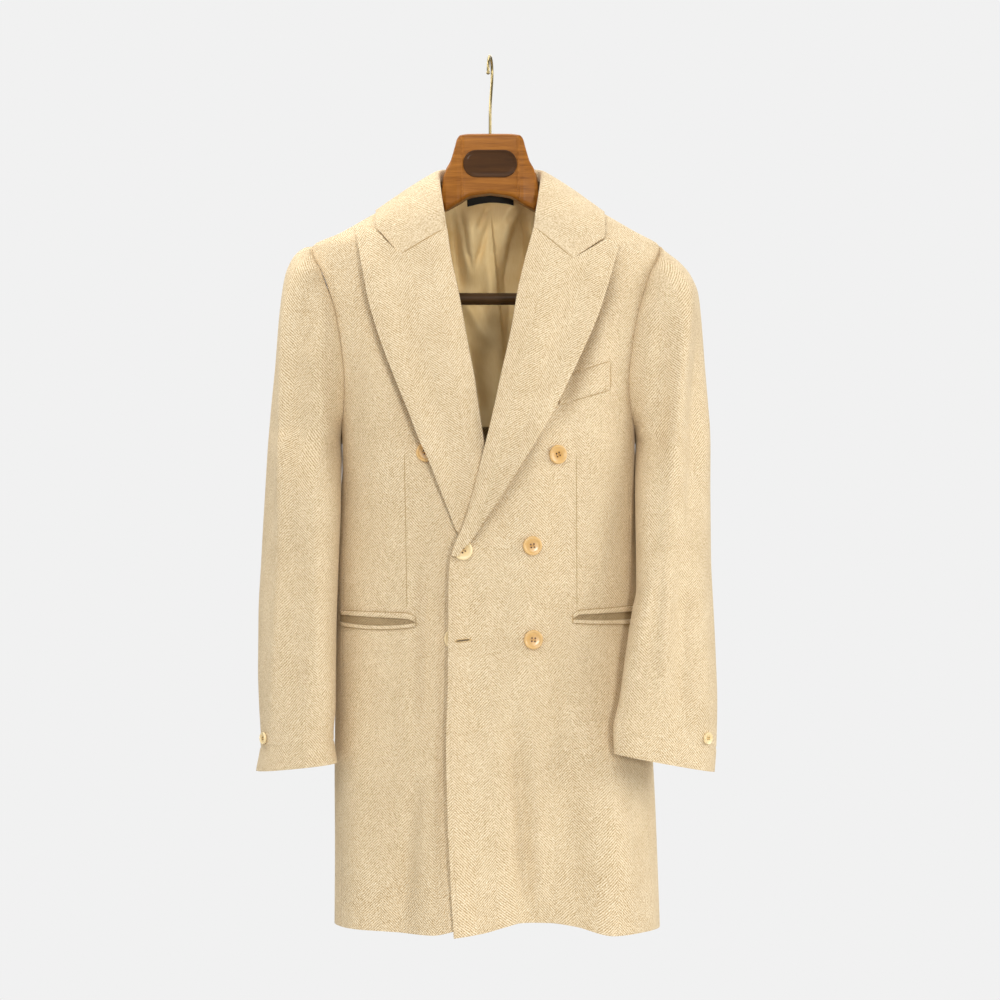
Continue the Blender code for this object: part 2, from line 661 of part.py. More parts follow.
def front_panel(name, over, surface, collection):
    outer, inner = [], []
    for z in BODY_ROWS + ARMHOLE_ROWS + SKIRT_ROWS:
        edge = over_edge(z) if over else under_edge(z)
        end = front_end(z) if over else -front_end(z)
        turns = even_turns(z, front_turn(edge, z), end, FRONT_COLUMNS)
        near, far = [], []
        for turn in turns:
            x = section_point(turn, z)[0]
            lift = over_lift(x, z) if over else 0.0
            rise = hem_rise(hem_over if over else hem_under, x, z)
            near.append(skin(turn, z, lift, rise))
            far.append(skin(turn, z, lift - CLOTH, rise))
        outer.append(near)
        inner.append(far)
    return wall_solid(name, outer, inner, surface, collection)


def back_panel(name, surface, collection):
    outer, inner = [], []
    for z in BODY_ROWS + ARMHOLE_ROWS + SKIRT_ROWS:
        end = back_end(z)
        near, far = [], []
        for turn in even_turns(z, end, 2.0 * math.pi - end, BACK_COLUMNS):
            rise = back_rise(section_point(turn, z)[0], z)
            near.append(skin(turn, z, 0.0, rise))
            far.append(skin(turn, z, -CLOTH, rise))
        outer.append(near)
        inner.append(far)
    return wall_solid(name, outer, inner, surface, collection)


def side_panel(name, side, surface, collection):
    """The panel under the arm, from the front's seam to the back's. Its top edge is the armhole's foot."""
    ends = (FRONT_SEAM + SEAM_TURN, BACK_SEAM - SEAM_TURN)
    halves = []
    for half, end in enumerate(ends):
        top = side_top(end)
        corners = [(armhole_turns(z)[half], z) for z in ARMHOLE_ROWS if z < top - 0.004]
        halves.append([(end, top)] + corners)
    columns = halves[0] + [(UNDERARM_TURN, UNDERARM_Z)] + halves[1][::-1]
    outer, inner = [], []
    for z in SKIRT_ROWS:
        near, far = [], []
        for turn, top in columns:
            height = top if z == SKIRT_ROWS[0] else z
            rise = back_rise(section_point(side * turn, height)[0], height)
            near.append(skin(side * turn, height, 0.0, rise))
            far.append(skin(side * turn, height, -CLOTH, rise))
        outer.append(near)
        inner.append(far)
    return wall_solid(name, outer, inner, surface, collection)


class SleeveForm:
    """The form of a sleeve. side is +1 for the wearer's left sleeve."""

    def __init__(self, rows, side, slant):
        self.side = side
        self.slant = slant
        self.inner = track(rows, "inner")
        self.outer = track(rows, "outer")
        self.centre_y = track(rows, "centre_y")
        self.half_depth = track(rows, "half_depth")
        self.lean = track(rows, "lean")
        self.opening = track(rows, "opening")

    def free_point(self, angle, z):
        """A point of the section; an angle of 0 is the outer side and of a right angle the front."""
        power = 2.0 / SLEEVE_ROUND
        middle = (self.inner(z) + self.outer(z)) / 2.0
        across = (self.outer(z) - self.inner(z)) / 2.0 * signed_power(math.cos(angle), power)
        y = self.centre_y(z) - self.half_depth(z) * signed_power(math.sin(angle), power)
        y += self.lean(z) * across
        share = (self.outer(z) - middle - across) / (self.outer(z) - self.inner(z))
        drop = self.slant * share * ease(CUFF_RAMP_Z, SLEEVE_ROWS[-1], z)
        return np.array([self.side * (middle + across), y, z + drop])

    def seam_ends(self, z):
        """The front and back ends of an open section, just off the armhole edge."""
        if z <= UNDERARM_Z + 1e-9:
            turns = (UNDERARM_TURN, UNDERARM_TURN)
        elif z >= SHOULDER_Z - 1e-9:
            turns = (math.pi / 2.0, math.pi / 2.0)
        else:
            turns = armhole_turns(z)
        ends = [skin(self.side * turn, z) for turn in turns]
        return [end + np.array([self.side * SEAM * 1.5, 0.0, 0.0]) for end in ends]

    def row(self, z, count):
        opening = math.radians(self.opening(z))
        if z < UNDERARM_Z - 1e-9:
            angles = np.linspace(math.pi, -math.pi, count)
            return [self.free_point(angle, z) for angle in angles]
        front, back = self.seam_ends(z)
        if z >= SHOULDER_Z - 1e-9:
            return [front] * count
        pin = UNDERARM_PIN + (SLEEVE_PIN - UNDERARM_PIN) * ease(UNDERARM_Z, PIN_Z, z)
        first = front - self.free_point(opening, z)
        last = back - self.free_point(-opening, z)
        points = []
        for share in np.linspace(0.0, 1.0, count):
            point = self.free_point(opening * (1.0 - 2.0 * share), z)
            point = point + first * (1.0 - ease(0.0, pin, share))
            points.append(point + last * ease(1.0 - pin, 1.0, share))
        return points

    def grid(self, zs, count):
        rows = [self.row(z, count) for z in zs]
        if self.side > 0:
            return rows
        return [row[::-1] for row in rows]

    def place(self, x, z):
        """The point of the front of the closed sleeve seen at x, and the vector out of it."""
        middle = (self.inner(z) + self.outer(z)) / 2.0
        across = (self.side * x - middle) / ((self.outer(z) - self.inner(z)) / 2.0)
        angle = math.acos(signed_power(across, SLEEVE_ROUND / 2.0))
        point = self.free_point(angle, z)
        along = self.free_point(angle + 0.02, z) - self.free_point(angle - 0.02, z)
        down = self.free_point(angle, z - 0.004) - self.free_point(angle, z + 0.004)
        normal = np.cross(along, down) * self.side
        normal = normal / np.linalg.norm(normal)
        return point, normal if normal[1] < 0.0 else -normal


def lapel(name, over, edge_rows, top_rows, break_z, surface, collection):
    """A lapel laid over its front: from the roll line out to its edge, and from the gorge down."""
    roll_x = over_edge if over else under_edge
    corners = np.array([[row.x, row.z] for row in edge_rows])
    lengths = np.concatenate([[0.0], np.cumsum(np.linalg.norm(np.diff(corners, axis=0), axis=1))])
    share = [row.across for row in top_rows]
    outer, inner = [], []
    for down in LAPEL_DOWN:
        at = down * lengths[-1]
        edge = np.array([np.interp(at, lengths, corners[:, 0]), np.interp(at, lengths, corners[:, 1])])
        roll_z = top_rows[0].z + (break_z - top_rows[0].z) * down
        roll = np.array([roll_x(roll_z), roll_z])
        keep = (1.0 - min(down / 0.24, 1.0)) ** 2
        near, far = [], []
        for across in LAPEL_ACROSS:
            top = np.array([
                np.interp(across, share, [row.x for row in top_rows]),
                np.interp(across, share, [row.z for row in top_rows]),
            ])
            chord = np.array([top_rows[0].x, top_rows[0].z]) * (1.0 - across)
            chord = chord + np.array([top_rows[-1].x, top_rows[-1].z]) * across
            x, z = roll * (1.0 - across) + edge * across + (top - chord) * keep
            out = max(lapel_rise(across), LAPEL_TAIL_OUT * ease(0.80, 0.92, down))
            near.append(on_front(x, z, out, over))
            far.append(on_front(x, z, out - LAPEL_CLOTH, over))
        outer.append(near)
        inner.append(far)
    return wall_solid(name, outer, inner, surface, collection)


def collar_piece(name, surface, collection):
    """The stand and fall of the collar as one strip folded along its crest."""
    at = np.arange(len(COLLAR), dtype=float)

    def through(values):
        values = np.array(values, dtype=float)
        ends = np.vstack([2.0 * values[0] - values[1], values, 2.0 * values[-1] - values[-2]])

        def value(t):
            i = min(int(t), len(COLLAR) - 2)
            f = t - i
            p, q, r, s = ends[i], ends[i + 1], ends[i + 2], ends[i + 3]
            bend = 2.0 * p - 5.0 * q + 4.0 * r - s
            turn = 3.0 * q - p - 3.0 * r + s
            return 0.5 * (2.0 * q + (r - p) * f + bend * f * f + turn * f ** 3)

        return value

    fold_at = through([row.fold for row in COLLAR])
    edge_at = through([row.edge for row in COLLAR])
    rest_at = through([(row.crown, row.dip, row.stand) for row in COLLAR])
    grid = []
    for t in np.linspace(at[0], at[-1], COLLAR_STEPS):
        fold, edge = fold_at(t), edge_at(t)
        crown, dip, stand = rest_at(t)
        along = fold_at(min(t + 0.05, at[-1])) - fold_at(max(t - 0.05, at[0]))
        fall = edge - fold
        out = np.cross(along, fall)
        out = out / np.linalg.norm(out)
        if np.dot(out, fold - np.array([0.0, 0.01, -0.3])) < 0.0:
            out = -out
        inward = -fall / np.linalg.norm(fall)
        flat = np.array([inward[0], inward[1], 0.0])
        flat = flat / np.linalg.norm(flat)
        row = []
        for across in COLLAR_ACROSS[::-1]:
            tent = across / GORGE_ACROSS if across < GORGE_ACROSS else (1.0 - across) / (1.0 - GORGE_ACROSS)
            point = fold + fall * across + out * crown * 4.0 * across * (1.0 - across)
            row.append(point - np.array([0.0, DIP_FORWARD * dip * tent, dip * tent]))
        row.append(fold + flat * FOLD_ROLL * 0.4)
        row.append(fold + flat * FOLD_ROLL * 1.5 - np.array([0.0, 0.0, FOLD_ROLL * 0.7]))
        row.append(fold + flat * FOLD_ROLL * 1.8 - np.array([0.0, 0.0, stand]))
        grid.append(row)
    return shell(name, grid[::-1], LAPEL_CLOTH, surface, collection)


def strip(row, surface, collection):
    """A narrow strip that lies on a front."""
    outer, inner = [], []
    for across in np.linspace(0.0, 1.0, STRIP_STEPS):
        x = row.inner_x + (row.outer_x - row.inner_x) * across
        top = row.inner_top + (row.outer_top - row.inner_top) * across
        low = row.inner_low + (row.outer_low - row.inner_low) * across
        near, far = [], []
        for z in (top, (top + low) / 2.0, low):
            near.append(on_front(x, z, STRIP_LAY + row.thick, row.over))
            far.append(on_front(x, z, STRIP_LAY, row.over))
        outer.append(near)
        inner.append(far)
    return wall_solid(row.name, outer, inner, surface, collection)


def turned_button(name, place, normal, radius, surface, collection):
    """A button turned about its axis, on a thread shank, with a raised rim and a dished face."""
    low, high = SHANK_HEIGHT, SHANK_HEIGHT + BUTTON_THICK
    profile = (
        (0.0, 0.0),
        (SHANK_RADIUS, 0.0),
        (SHANK_RADIUS, low),
        (0.80 * radius, low),
        (radius, low + 0.40 * BUTTON_THICK),
        (radius, low + 0.78 * BUTTON_THICK),
        (0.92 * radius, high),
        (0.78 * radius, high),
        (0.66 * radius, low + 0.72 * BUTTON_THICK),
        (0.0, low + 0.62 * BUTTON_THICK),
    )
    bm = bmesh.new()
    verts = [bm.verts.new((r, 0.0, h)) for r, h in profile]
    for a, b in zip(verts[:-1], verts[1:]):
        bm.edges.new((a, b))
    mesh = bpy.data.meshes.new(name)
    bm.to_mesh(mesh)
    bm.free()
    made = add_object(name, mesh, surface, collection)
    axis = np.array(normal)
    side = np.cross((0.0, 0.0, 1.0), axis)
    side = side / np.linalg.norm(side)
    up = np.cross(axis, side)
    frame = [[side[i], up[i], axis[i], place[i]] for i in range(3)] + [[0.0, 0.0, 0.0, 1.0]]
    made.matrix_world = Matrix(frame)
    screw = made.modifiers.new("Screw", "SCREW")
    screw.axis = "Z"
    screw.steps = 14
    screw.render_steps = 14
    screw.use_merge_vertices = True
    screw.merge_threshold = 0.00005
    screw.use_normal_calculate = True
    return made


def lining_out(x, z):
    """How far the lining lies inside the coat's form: close at the neck, looser and pleated below."""
    loose = ease(LINING_TOP_Z, LINING_TOP_Z - 0.05, z)
    pleat = LINING_PLEAT * ease(LABEL_LOW_Z, LABEL_LOW_Z - 0.06, z) * math.exp(-((x - 0.006) / 0.018) ** 2)
    return CLOTH + LAY + 0.003 * loose + pleat


def lining_piece(name, surface, collection):
    """The satin half lining inside the upper back, with a pleat down its middle."""
    outer, inner = [], []
    for z in LINING_ROWS:
        reach = min(LINING_HALF, half_width(z) * 0.80)
        near, far = [], []
        for share in np.linspace(-1.0, 1.0, 15):
            x = centre(z) + reach * signed_power(share, 1.3)
            turn = math.pi - front_turn(x, z)
            far.append(skin(turn, z, -lining_out(x, z) - LINING_CLOTH))
            near.append(skin(turn, z, -lining_out(x, z)))
        outer.append(near)
        inner.append(far)
    return wall_solid(name, inner, outer, surface, collection)


def label_piece(name, surface, collection):
    """A bare strip at the back of the neck, on the lining."""
    outer, inner = [], []
    for z in (LABEL_TOP_Z, (LABEL_TOP_Z + LABEL_LOW_Z) / 2.0, LABEL_LOW_Z):
        near, far = [], []
        for x in np.linspace(-LABEL_HALF, LABEL_HALF, 7):
            out = -(lining_out(x, z) + LINING_CLOTH + LAY)
            turn = math.pi - front_turn(x, z)
            near.append(skin(turn, z, out))
            far.append(skin(turn, z, out - 0.0008))
        outer.append(near)
        inner.append(far)
    return wall_solid(name, inner, outer, surface, collection)


def shoulder_height(x):
    """Height of the shoulder seam at x."""
    side = math.copysign(1.0, x)
    low, high = SHOULDER_Z, BODY[0].z
    for _ in range(40):
        middle = (low + high) / 2.0
        if side * centre(middle) + half_width(middle) > abs(x):
            low = middle
        else:
            high = middle
    return (low + high) / 2.0


def yoke_section(x, top, low, half_depth, corner):
    """A rounded upright section of the yoke at x."""
    corner = min(corner, (top - low) * 0.48)
    points = []
    for y_side, z_side, start in ((-1, 1, 90), (-1, -1, 180), (1, -1, 270), (1, 1, 0)):
        for turn in (0, 30, 60, 90):
            angle = math.radians(start + turn)
            y = y_side * (half_depth - corner) + corner * math.cos(angle)
            height = (top - corner if z_side > 0 else low + corner) + corner * math.sin(angle)
            points.append((x, y, height))
    return points


def yoke_piece(name, surface, collection):
    """The wooden yoke as one loft from arm end to arm end."""
    sections = []
    rows = [(-row.x, row) for row in YOKE[:0:-1]] + [(row.x, row) for row in YOKE]
    for x, row in rows:
        top = row.top
        if top is None:
            drop = (CLOTH + LAY) * 1.25
            top = shoulder_height(x) - drop
        sections.append(yoke_section(x, top, row.low, row.half_depth, row.corner))
    bm = bmesh.new()
    rings = [[bm.verts.new(point) for point in section] for section in sections]
    for first, second in zip(rings[:-1], rings[1:]):
        for i in range(len(first)):
            k = (i + 1) % len(first)
            bm.faces.new((first[i], first[k], second[k], second[i]))
    bm.faces.new(rings[0])
    bm.faces.new(rings[-1][::-1])
    bmesh.ops.recalc_face_normals(bm, faces=bm.faces)
    mesh = bpy.data.meshes.new(name)
    bm.to_mesh(mesh)
    bm.free()
    return add_object(name, mesh, surface, collection)


def plaque_piece(name, surface, collection):
    """A bare stadium-shaped plaque on the front of the yoke."""
    radius = (PLAQUE_TOP_Z - PLAQUE_LOW_Z) / 2.0
    middle = (PLAQUE_TOP_Z + PLAQUE_LOW_Z) / 2.0
    reach = PLAQUE_HALF - radius
    bm = bmesh.new()
    rim = []
    for side, start in ((1, -90), (-1, 90)):
        for step in range(9):
            angle = math.radians(start + 22.5 * step)
            x = side * reach + radius * math.cos(angle)
            rim.append(bm.verts.new((x, -YOKE_HALF_DEPTH - SEAM, middle + radius * math.sin(angle))))
    face = bm.faces.new(rim)
    grown = bmesh.ops.extrude_face_region(bm, geom=[face])
    moved = [item for item in grown["geom"] if isinstance(item, bmesh.types.BMVert)]
    bmesh.ops.translate(bm, verts=moved, vec=(0.0, -PLAQUE_THICK, 0.0))
    bmesh.ops.recalc_face_normals(bm, faces=bm.faces)
    mesh = bpy.data.meshes.new(name)
    bm.to_mesh(mesh)
    bm.free()
    return add_object(name, mesh, surface, collection)


def bar_piece(name, surface, collection):
    """The trouser bar between the bosses of the arms."""
    bm = bmesh.new()
    bmesh.ops.create_cone(
        bm, cap_ends=True, segments=20, radius1=BAR_RADIUS, radius2=BAR_RADIUS,
        depth=2.0 * (BAR_HALF - SEAM),
    )
    mesh = bpy.data.meshes.new(name)
    bm.to_mesh(mesh)
    bm.free()
    made = add_object(name, mesh, surface, collection)
    made.rotation_euler = (0.0, math.pi / 2.0, 0.0)
    made.location = (0.0, 0.0, BAR_Z)
    return made


def hook_piece(name, surface, collection):
    """The brass hook: a stem, a sweep to one side and the bend over the rail."""
    line = [(0.0, STEM_FOOT_Z + SEAM), (0.0, -0.0830), (0.0004, -0.0700)]
    line += [(0.0040, -0.0560), (0.0105, -0.0430), (0.0168, -0.0310)]
    middle = HOOK_WIRE - HOOK_BEND
    for step in range(11):
        angle = math.radians(-8.0 + 19.6 * step)
        line.append((HOOK_BEND * math.cos(angle), middle + HOOK_BEND * math.sin(angle)))
    curve = bpy.data.curves.new(name, "CURVE")
    curve.dimensions = "3D"
    curve.bevel_depth = HOOK_WIRE
    curve.bevel_resolution = 2
    curve.use_fill_caps = True
    curve.resolution_u = 1
    spline = curve.splines.new("POLY")
    spline.points.add(len(line) - 1)
    for point, (u, z) in zip(spline.points, line):
        point.co = (u * math.cos(HOOK_TURN), u * math.sin(HOOK_TURN), z, 1.0)
    curve.materials.append(surface)
    made = bpy.data.objects.new(name, curve)
    collection.objects.link(made)
    return made


def main():
    for old in list(bpy.data.objects):
        bpy.data.objects.remove(old)
    coat = bpy.data.collections.new("double_breasted_coat")
    bpy.context.scene.collection.children.link(coat)

    wool = material("herringbone_wool", WOOL, 0.9)
    satin = material("satin", SATIN, 0.35)
    label = material("label_tape", LABEL_BLACK, 0.7)
    horn = material("button_horn", HORN, 0.35)
    wood = material("varnished_wood", WOOD, 0.3)
    dark = material("dark_wood", DARK_WOOD, 0.4)
    brass = material("brass", BRASS, 0.25, 1.0)

    front_panel("left_front", True, wool, coat)
    front_panel("right_front", False, wool, coat)
    back_panel("back", wool, coat)
    side_panel("left_side", 1, wool, coat)
    side_panel("right_side", -1, wool, coat)

    left = SleeveForm(LEFT_SLEEVE, 1, LEFT_CUFF_SLANT)
    right = SleeveForm(RIGHT_SLEEVE, -1, RIGHT_CUFF_SLANT)
    zs = ARMHOLE_ROWS + SLEEVE_ROWS
    shell("left_sleeve", left.grid(zs, SLEEVE_COLUMNS), CLOTH, wool, coat)
    shell("right_sleeve", right.grid(zs, SLEEVE_COLUMNS), CLOTH, wool, coat)

    lapel("left_lapel", True, LEFT_LAPEL_EDGE, LEFT_LAPEL_TOP, LEFT_BREAK_Z, wool, coat)
    lapel("right_lapel", False, RIGHT_LAPEL_EDGE, RIGHT_LAPEL_TOP, RIGHT_BREAK_Z, wool, coat)
    collar_piece("collar", wool, coat)
    for row in STRIPS:
        strip(row, wool, coat)

    for row in BUTTONS:
        place = on_front(row.x, row.z, BUTTON_LAY, row.over)
        turned_button(row.name, place, facing(row.x, row.z, row.over), BUTTON_RADIUS, horn, coat)
    for name, form, x in (
        ("button_left_cuff", left, LEFT_CUFF_BUTTON_X),
        ("button_right_cuff", right, RIGHT_CUFF_BUTTON_X),
    ):
        place, normal = form.place(x, CUFF_BUTTON_Z)
        turned_button(name, place, normal, CUFF_BUTTON_RADIUS, horn, coat)

    lining_piece("back_lining", satin, coat)
    label_piece("neck_label", label, coat)

    yoke_piece("hanger_yoke", wood, coat)
    plaque_piece("hanger_plaque", dark, coat)
    bar_piece("hanger_bar", dark, coat)
    hook_piece("hanger_hook", brass, coat)


main()
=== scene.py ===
"""The looks of a double-breasted herringbone coat that hangs on a shaped wooden hanger.

Metres, +Z up, the coat faces -Y, +X is the wearer's left. The cloth follows the same sections as the
solids on a finer grid, and its creases are placed one by one.
"""

import math
from collections import namedtuple

import bmesh
import bpy
import numpy as np
from mathutils import Matrix, Vector


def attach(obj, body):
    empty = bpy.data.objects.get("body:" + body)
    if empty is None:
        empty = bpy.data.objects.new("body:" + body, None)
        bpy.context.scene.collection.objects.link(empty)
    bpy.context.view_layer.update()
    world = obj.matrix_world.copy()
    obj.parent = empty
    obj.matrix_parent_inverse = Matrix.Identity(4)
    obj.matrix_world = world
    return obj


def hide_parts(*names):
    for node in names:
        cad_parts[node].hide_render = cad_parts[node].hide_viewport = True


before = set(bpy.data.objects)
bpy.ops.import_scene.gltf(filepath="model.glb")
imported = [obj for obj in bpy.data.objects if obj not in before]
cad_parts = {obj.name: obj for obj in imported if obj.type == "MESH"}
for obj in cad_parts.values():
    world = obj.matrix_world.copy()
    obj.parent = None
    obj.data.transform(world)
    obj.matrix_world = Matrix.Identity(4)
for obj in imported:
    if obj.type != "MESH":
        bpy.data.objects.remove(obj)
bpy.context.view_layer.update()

# Thicknesses of the cloths, and the gaps between pieces that lie on each other or meet at a seam.
CLOTH = 0.0026
LAPEL_CLOTH = 0.0026
LINING_CLOTH = 0.0010
LABEL_CLOTH = 0.0008
STRIP_CLOTH = 0.0009
MOUTH_CLOTH = 0.0003
LAY = 0.0006
SEAM = 0.0003
BUTTON_LAY = 0.0003
STRIP_LAY = 0.0005
MOUTH_LAY = 0.0004

# Heights of the coat's main lines, and the turns of its side seams round a section.
SHOULDER_Z = -0.239
UNDERARM_Z = -0.487
HEM_Z = -1.095
HEM_START_Z = -0.93
UNDERARM_TURN = math.radians(92.0)
FRONT_SEAM = math.radians(68.5)
BACK_SEAM = math.radians(110.0)
SEAM_TURN = 0.0012
SIDE_TOP_Z = -0.405


def table(columns, *rows):
    """The rows of a table, whose columns have those names."""
    row_kind = namedtuple("Row", columns)
    return [row_kind(*row) for row in rows]


# Horizontal sections of the coat's outer form. Above the shoulder point they end on the shoulder seam.
BODY = table(
    "z half_width front back squareness centre",
    (-0.150, 0.062, 0.020, 0.050, 2.2, 0.000),
    (-0.1685, 0.093, 0.032, 0.060, 2.2, 0.000),
    (-0.196, 0.142, 0.047, 0.070, 2.2, -0.001),
    (-0.2227, 0.1885, 0.059, 0.078, 2.3, -0.0015),
    (-0.239, 0.219, 0.066, 0.083, 2.4, -0.005),
    (-0.260, 0.223, 0.072, 0.086, 2.5, -0.005),
    (-0.320, 0.213, 0.087, 0.091, 2.6, -0.004),
    (-0.370, 0.203, 0.096, 0.092, 2.7, -0.004),
    (-0.430, 0.190, 0.102, 0.091, 2.7, -0.004),
    (-0.487, 0.185, 0.104, 0.088, 2.6, -0.002),
    (-0.520, 0.185, 0.103, 0.086, 2.6, -0.0018),
    (-0.560, 0.1875, 0.101, 0.083, 2.5, -0.002),
    (-0.630, 0.190, 0.097, 0.081, 2.5, -0.004),
    (-0.700, 0.1915, 0.097, 0.084, 2.5, -0.004),
    (-0.800, 0.197, 0.099, 0.090, 2.5, 0.0015),
    (-0.900, 0.2015, 0.101, 0.094, 2.5, 0.005),
    (-1.000, 0.2035, 0.103, 0.097, 2.5, 0.0075),
    (-1.095, 0.2055, 0.105, 0.100, 2.5, 0.009),
)

# The armhole seam on front and back, by its distance from the section's centre.
ARMHOLE = table(
    "z front back",
    (-0.239, 0.2190, 0.2190), (-0.248, 0.2185, 0.2185), (-0.260, 0.2145, 0.2150),
    (-0.273, 0.2065, 0.2085), (-0.295, 0.1985, 0.2020), (-0.320, 0.1905, 0.1960),
    (-0.370, 0.1815, 0.1875), (-0.410, 0.1785, 0.1830), (-0.445, 0.1798, 0.1812),
    (-0.470, 0.1842, 0.1842),
)

# Soft upright folds of the skirt. Each starts at z_top and is fully out at the hem.
FOLDS = table(
    "face x_top x_hem z_top width height",
    ("front", -0.085, -0.072, -0.72, 0.030, 0.012),
    ("front", -0.115, -0.112, -0.70, 0.026, -0.007),
    ("front", -0.040, -0.038, -0.78, 0.030, 0.010),
    ("front", 0.050, 0.060, -0.70, 0.034, -0.016),
    ("front", 0.130, 0.150, -0.74, 0.032, 0.013),
    ("front", -0.165, -0.165, -0.62, 0.022, 0.005),
    ("back", -0.110, -0.120, -0.60, 0.036, 0.012),
    ("back", -0.040, -0.045, -0.66, 0.032, -0.010),
    ("back", 0.045, 0.040, -0.64, 0.036, 0.011),
    ("back", 0.120, 0.125, -0.60, 0.034, -0.009),
)

# How far the hem hangs above (+) or below (-) its level line.
HEM_OVER = table(
    "x rise",
    (-0.060, -0.0050), (-0.010, 0.0010), (0.020, 0.0085), (0.040, 0.0125), (0.074, 0.0120),
    (0.105, 0.0080), (0.150, -0.0040), (0.210, -0.0030),
)
HEM_UNDER = table(
    "x rise",
    (-0.200, 0.0020), (-0.150, 0.0010), (-0.100, -0.0010), (-0.070, -0.0010), (-0.035, 0.0060),
    (0.010, 0.0120), (0.060, 0.0180),
)

# The inner edge of each front: the roll line of its lapel, then the front edge.
OVER_EDGE = table(
    "z x",
    (-0.150, 0.0672), (-0.184, 0.0648), (-0.220, 0.0571), (-0.260, 0.0465), (-0.300, 0.0372),
    (-0.345, 0.0297), (-0.413, 0.0147), (-0.450, 0.0070), (-0.503, -0.0062), (-0.568, -0.0244),
    (-0.596, -0.0343), (-0.616, -0.0430), (-0.641, -0.0491), (-0.670, -0.0503), (-0.782, -0.0508),
    (-0.856, -0.0528), (-0.940, -0.0508), (-1.025, -0.0466), (-1.095, -0.0423),
)
UNDER_EDGE = table(
    "z x",
    (-0.150, -0.0668), (-0.184, -0.0645), (-0.220, -0.0565), (-0.255, -0.0515), (-0.302, -0.0415),
    (-0.357, -0.0315), (-0.409, -0.0216), (-0.450, -0.0155), (-0.486, -0.0097), (-0.530, -0.0020),
    (-0.580, 0.0085), (-0.620, 0.0210), (-0.660, 0.0380), (-0.710, 0.0450), (-1.095, 0.0480),
)

# How far the over front is lifted where it lies on the under front and its lapel.
LIFT = table(
    "z lift",
    (-0.300, 0.0), (-0.400, 0.0050), (-0.480, 0.0115), (-0.530, 0.0125), (-0.620, 0.0125),
    (-0.680, 0.0095), (-0.760, 0.0085), (-0.900, 0.0065), (-1.095, 0.0060),
)

# The lift is full up to the first x, and gone beyond the second.
LIFT_FULL_X = 0.052
LIFT_NONE_X = 0.105

# Outer edges of the lapels from the peak down to the break, and the corners of their top edges.
LEFT_LAPEL_EDGE = table(
    "x z",
    (0.1624, -0.2386), (0.1553, -0.2625), (0.1451, -0.2975), (0.1327, -0.3345), (0.1151, -0.3746),
    (0.0989, -0.4089), (0.0784, -0.4502), (0.0564, -0.4873), (0.0369, -0.5188), (0.0150, -0.5538),
    (-0.0060, -0.5846), (-0.0220, -0.6090), (-0.0333, -0.6203), (-0.0398, -0.6290),
)
RIGHT_LAPEL_EDGE = table(
    "x z",
    (-0.1690, -0.2171), (-0.1649, -0.2396), (-0.1584, -0.2727), (-0.1518, -0.3075), (-0.1429, -0.3395),
    (-0.1291, -0.3796), (-0.1147, -0.4162), (-0.0997, -0.4527), (-0.0874, -0.4848), (-0.0750, -0.5119),
    (-0.0614, -0.5465), (-0.0498, -0.5760), (-0.0390, -0.6015), (-0.0190, -0.6230),
)
LEFT_LAPEL_TOP = table(
    "across x z",
    (0.00, 0.0572, -0.2206), (0.45, 0.1036, -0.2597), (0.82, 0.1440, -0.2345), (1.00, 0.1624, -0.2386),
)
RIGHT_LAPEL_TOP = table(
    "across x z",
    (0.00, -0.0572, -0.2212), (0.45, -0.1120, -0.2546), (0.82, -0.1440, -0.2222),
    (1.00, -0.1690, -0.2171),
)

# Where the lapels end below, and how far they lie off the fronts, across and at the tail.
LEFT_BREAK_Z = -0.6290
RIGHT_BREAK_Z = -0.6160
LAPEL_TAIL_OUT = 0.0086
LAPEL_RISE = table(
    "across out",
    (0.00, 0.0034), (0.07, 0.0066), (0.20, 0.0086), (0.60, 0.0080), (1.00, 0.0084),
)

# The collar by stations from its right front end round the back to its left front end.
# Each gives the crest of the fold, the outer edge, the crown between them, the dip of the gorge
# and the height of the stand inside.
COLLAR = table(
    "fold edge crown dip stand",
    ((-0.0574, -0.0655, -0.2198), (-0.1425, -0.0500, -0.2200), 0.0060, 0.0330, 0.006),
    ((-0.0622, -0.0535, -0.1950), (-0.1435, -0.0400, -0.2060), 0.0060, 0.0150, 0.010),
    ((-0.0665, -0.0330, -0.1680), (-0.1440, -0.0230, -0.1982), 0.0045, 0.0040, 0.010),
    ((-0.0685, -0.0060, -0.1470), (-0.1430, 0.0000, -0.1922), 0.0020, 0.0000, 0.012),
    ((-0.0630, 0.0230, -0.1400), (-0.1290, 0.0460, -0.1890), 0.0030, 0.0000, 0.016),
    ((-0.0390, 0.0450, -0.1365), (-0.0800, 0.0760, -0.1930), 0.0030, 0.0000, 0.019),
    ((0.0000, 0.0530, -0.1355), (0.0000, 0.0850, -0.1950), 0.0030, 0.0000, 0.020),
    ((0.0390, 0.0450, -0.1365), (0.0800, 0.0760, -0.1940), 0.0030, 0.0000, 0.019),
    ((0.0630, 0.0230, -0.1400), (0.1290, 0.0460, -0.1900), 0.0030, 0.0000, 0.016),
    ((0.0685, -0.0060, -0.1470), (0.1430, 0.0000, -0.1940), 0.0020, 0.0000, 0.012),
    ((0.0665, -0.0330, -0.1680), (0.1440, -0.0310, -0.2018), 0.0045, 0.0040, 0.010),
    ((0.0622, -0.0535, -0.1950), (0.1438, -0.0465, -0.2150), 0.0060, 0.0150, 0.010),
    ((0.0574, -0.0655, -0.2190), (0.1428, -0.0585, -0.2318), 0.0060, 0.0330, 0.006),
)

# The gorge dips most at this share of the fall, and leans forward by this share of its dip.
# The last value is the radius of the fold's roll.
GORGE_ACROSS = 0.56
DIP_FORWARD = 0.45
FOLD_ROLL = 0.0032

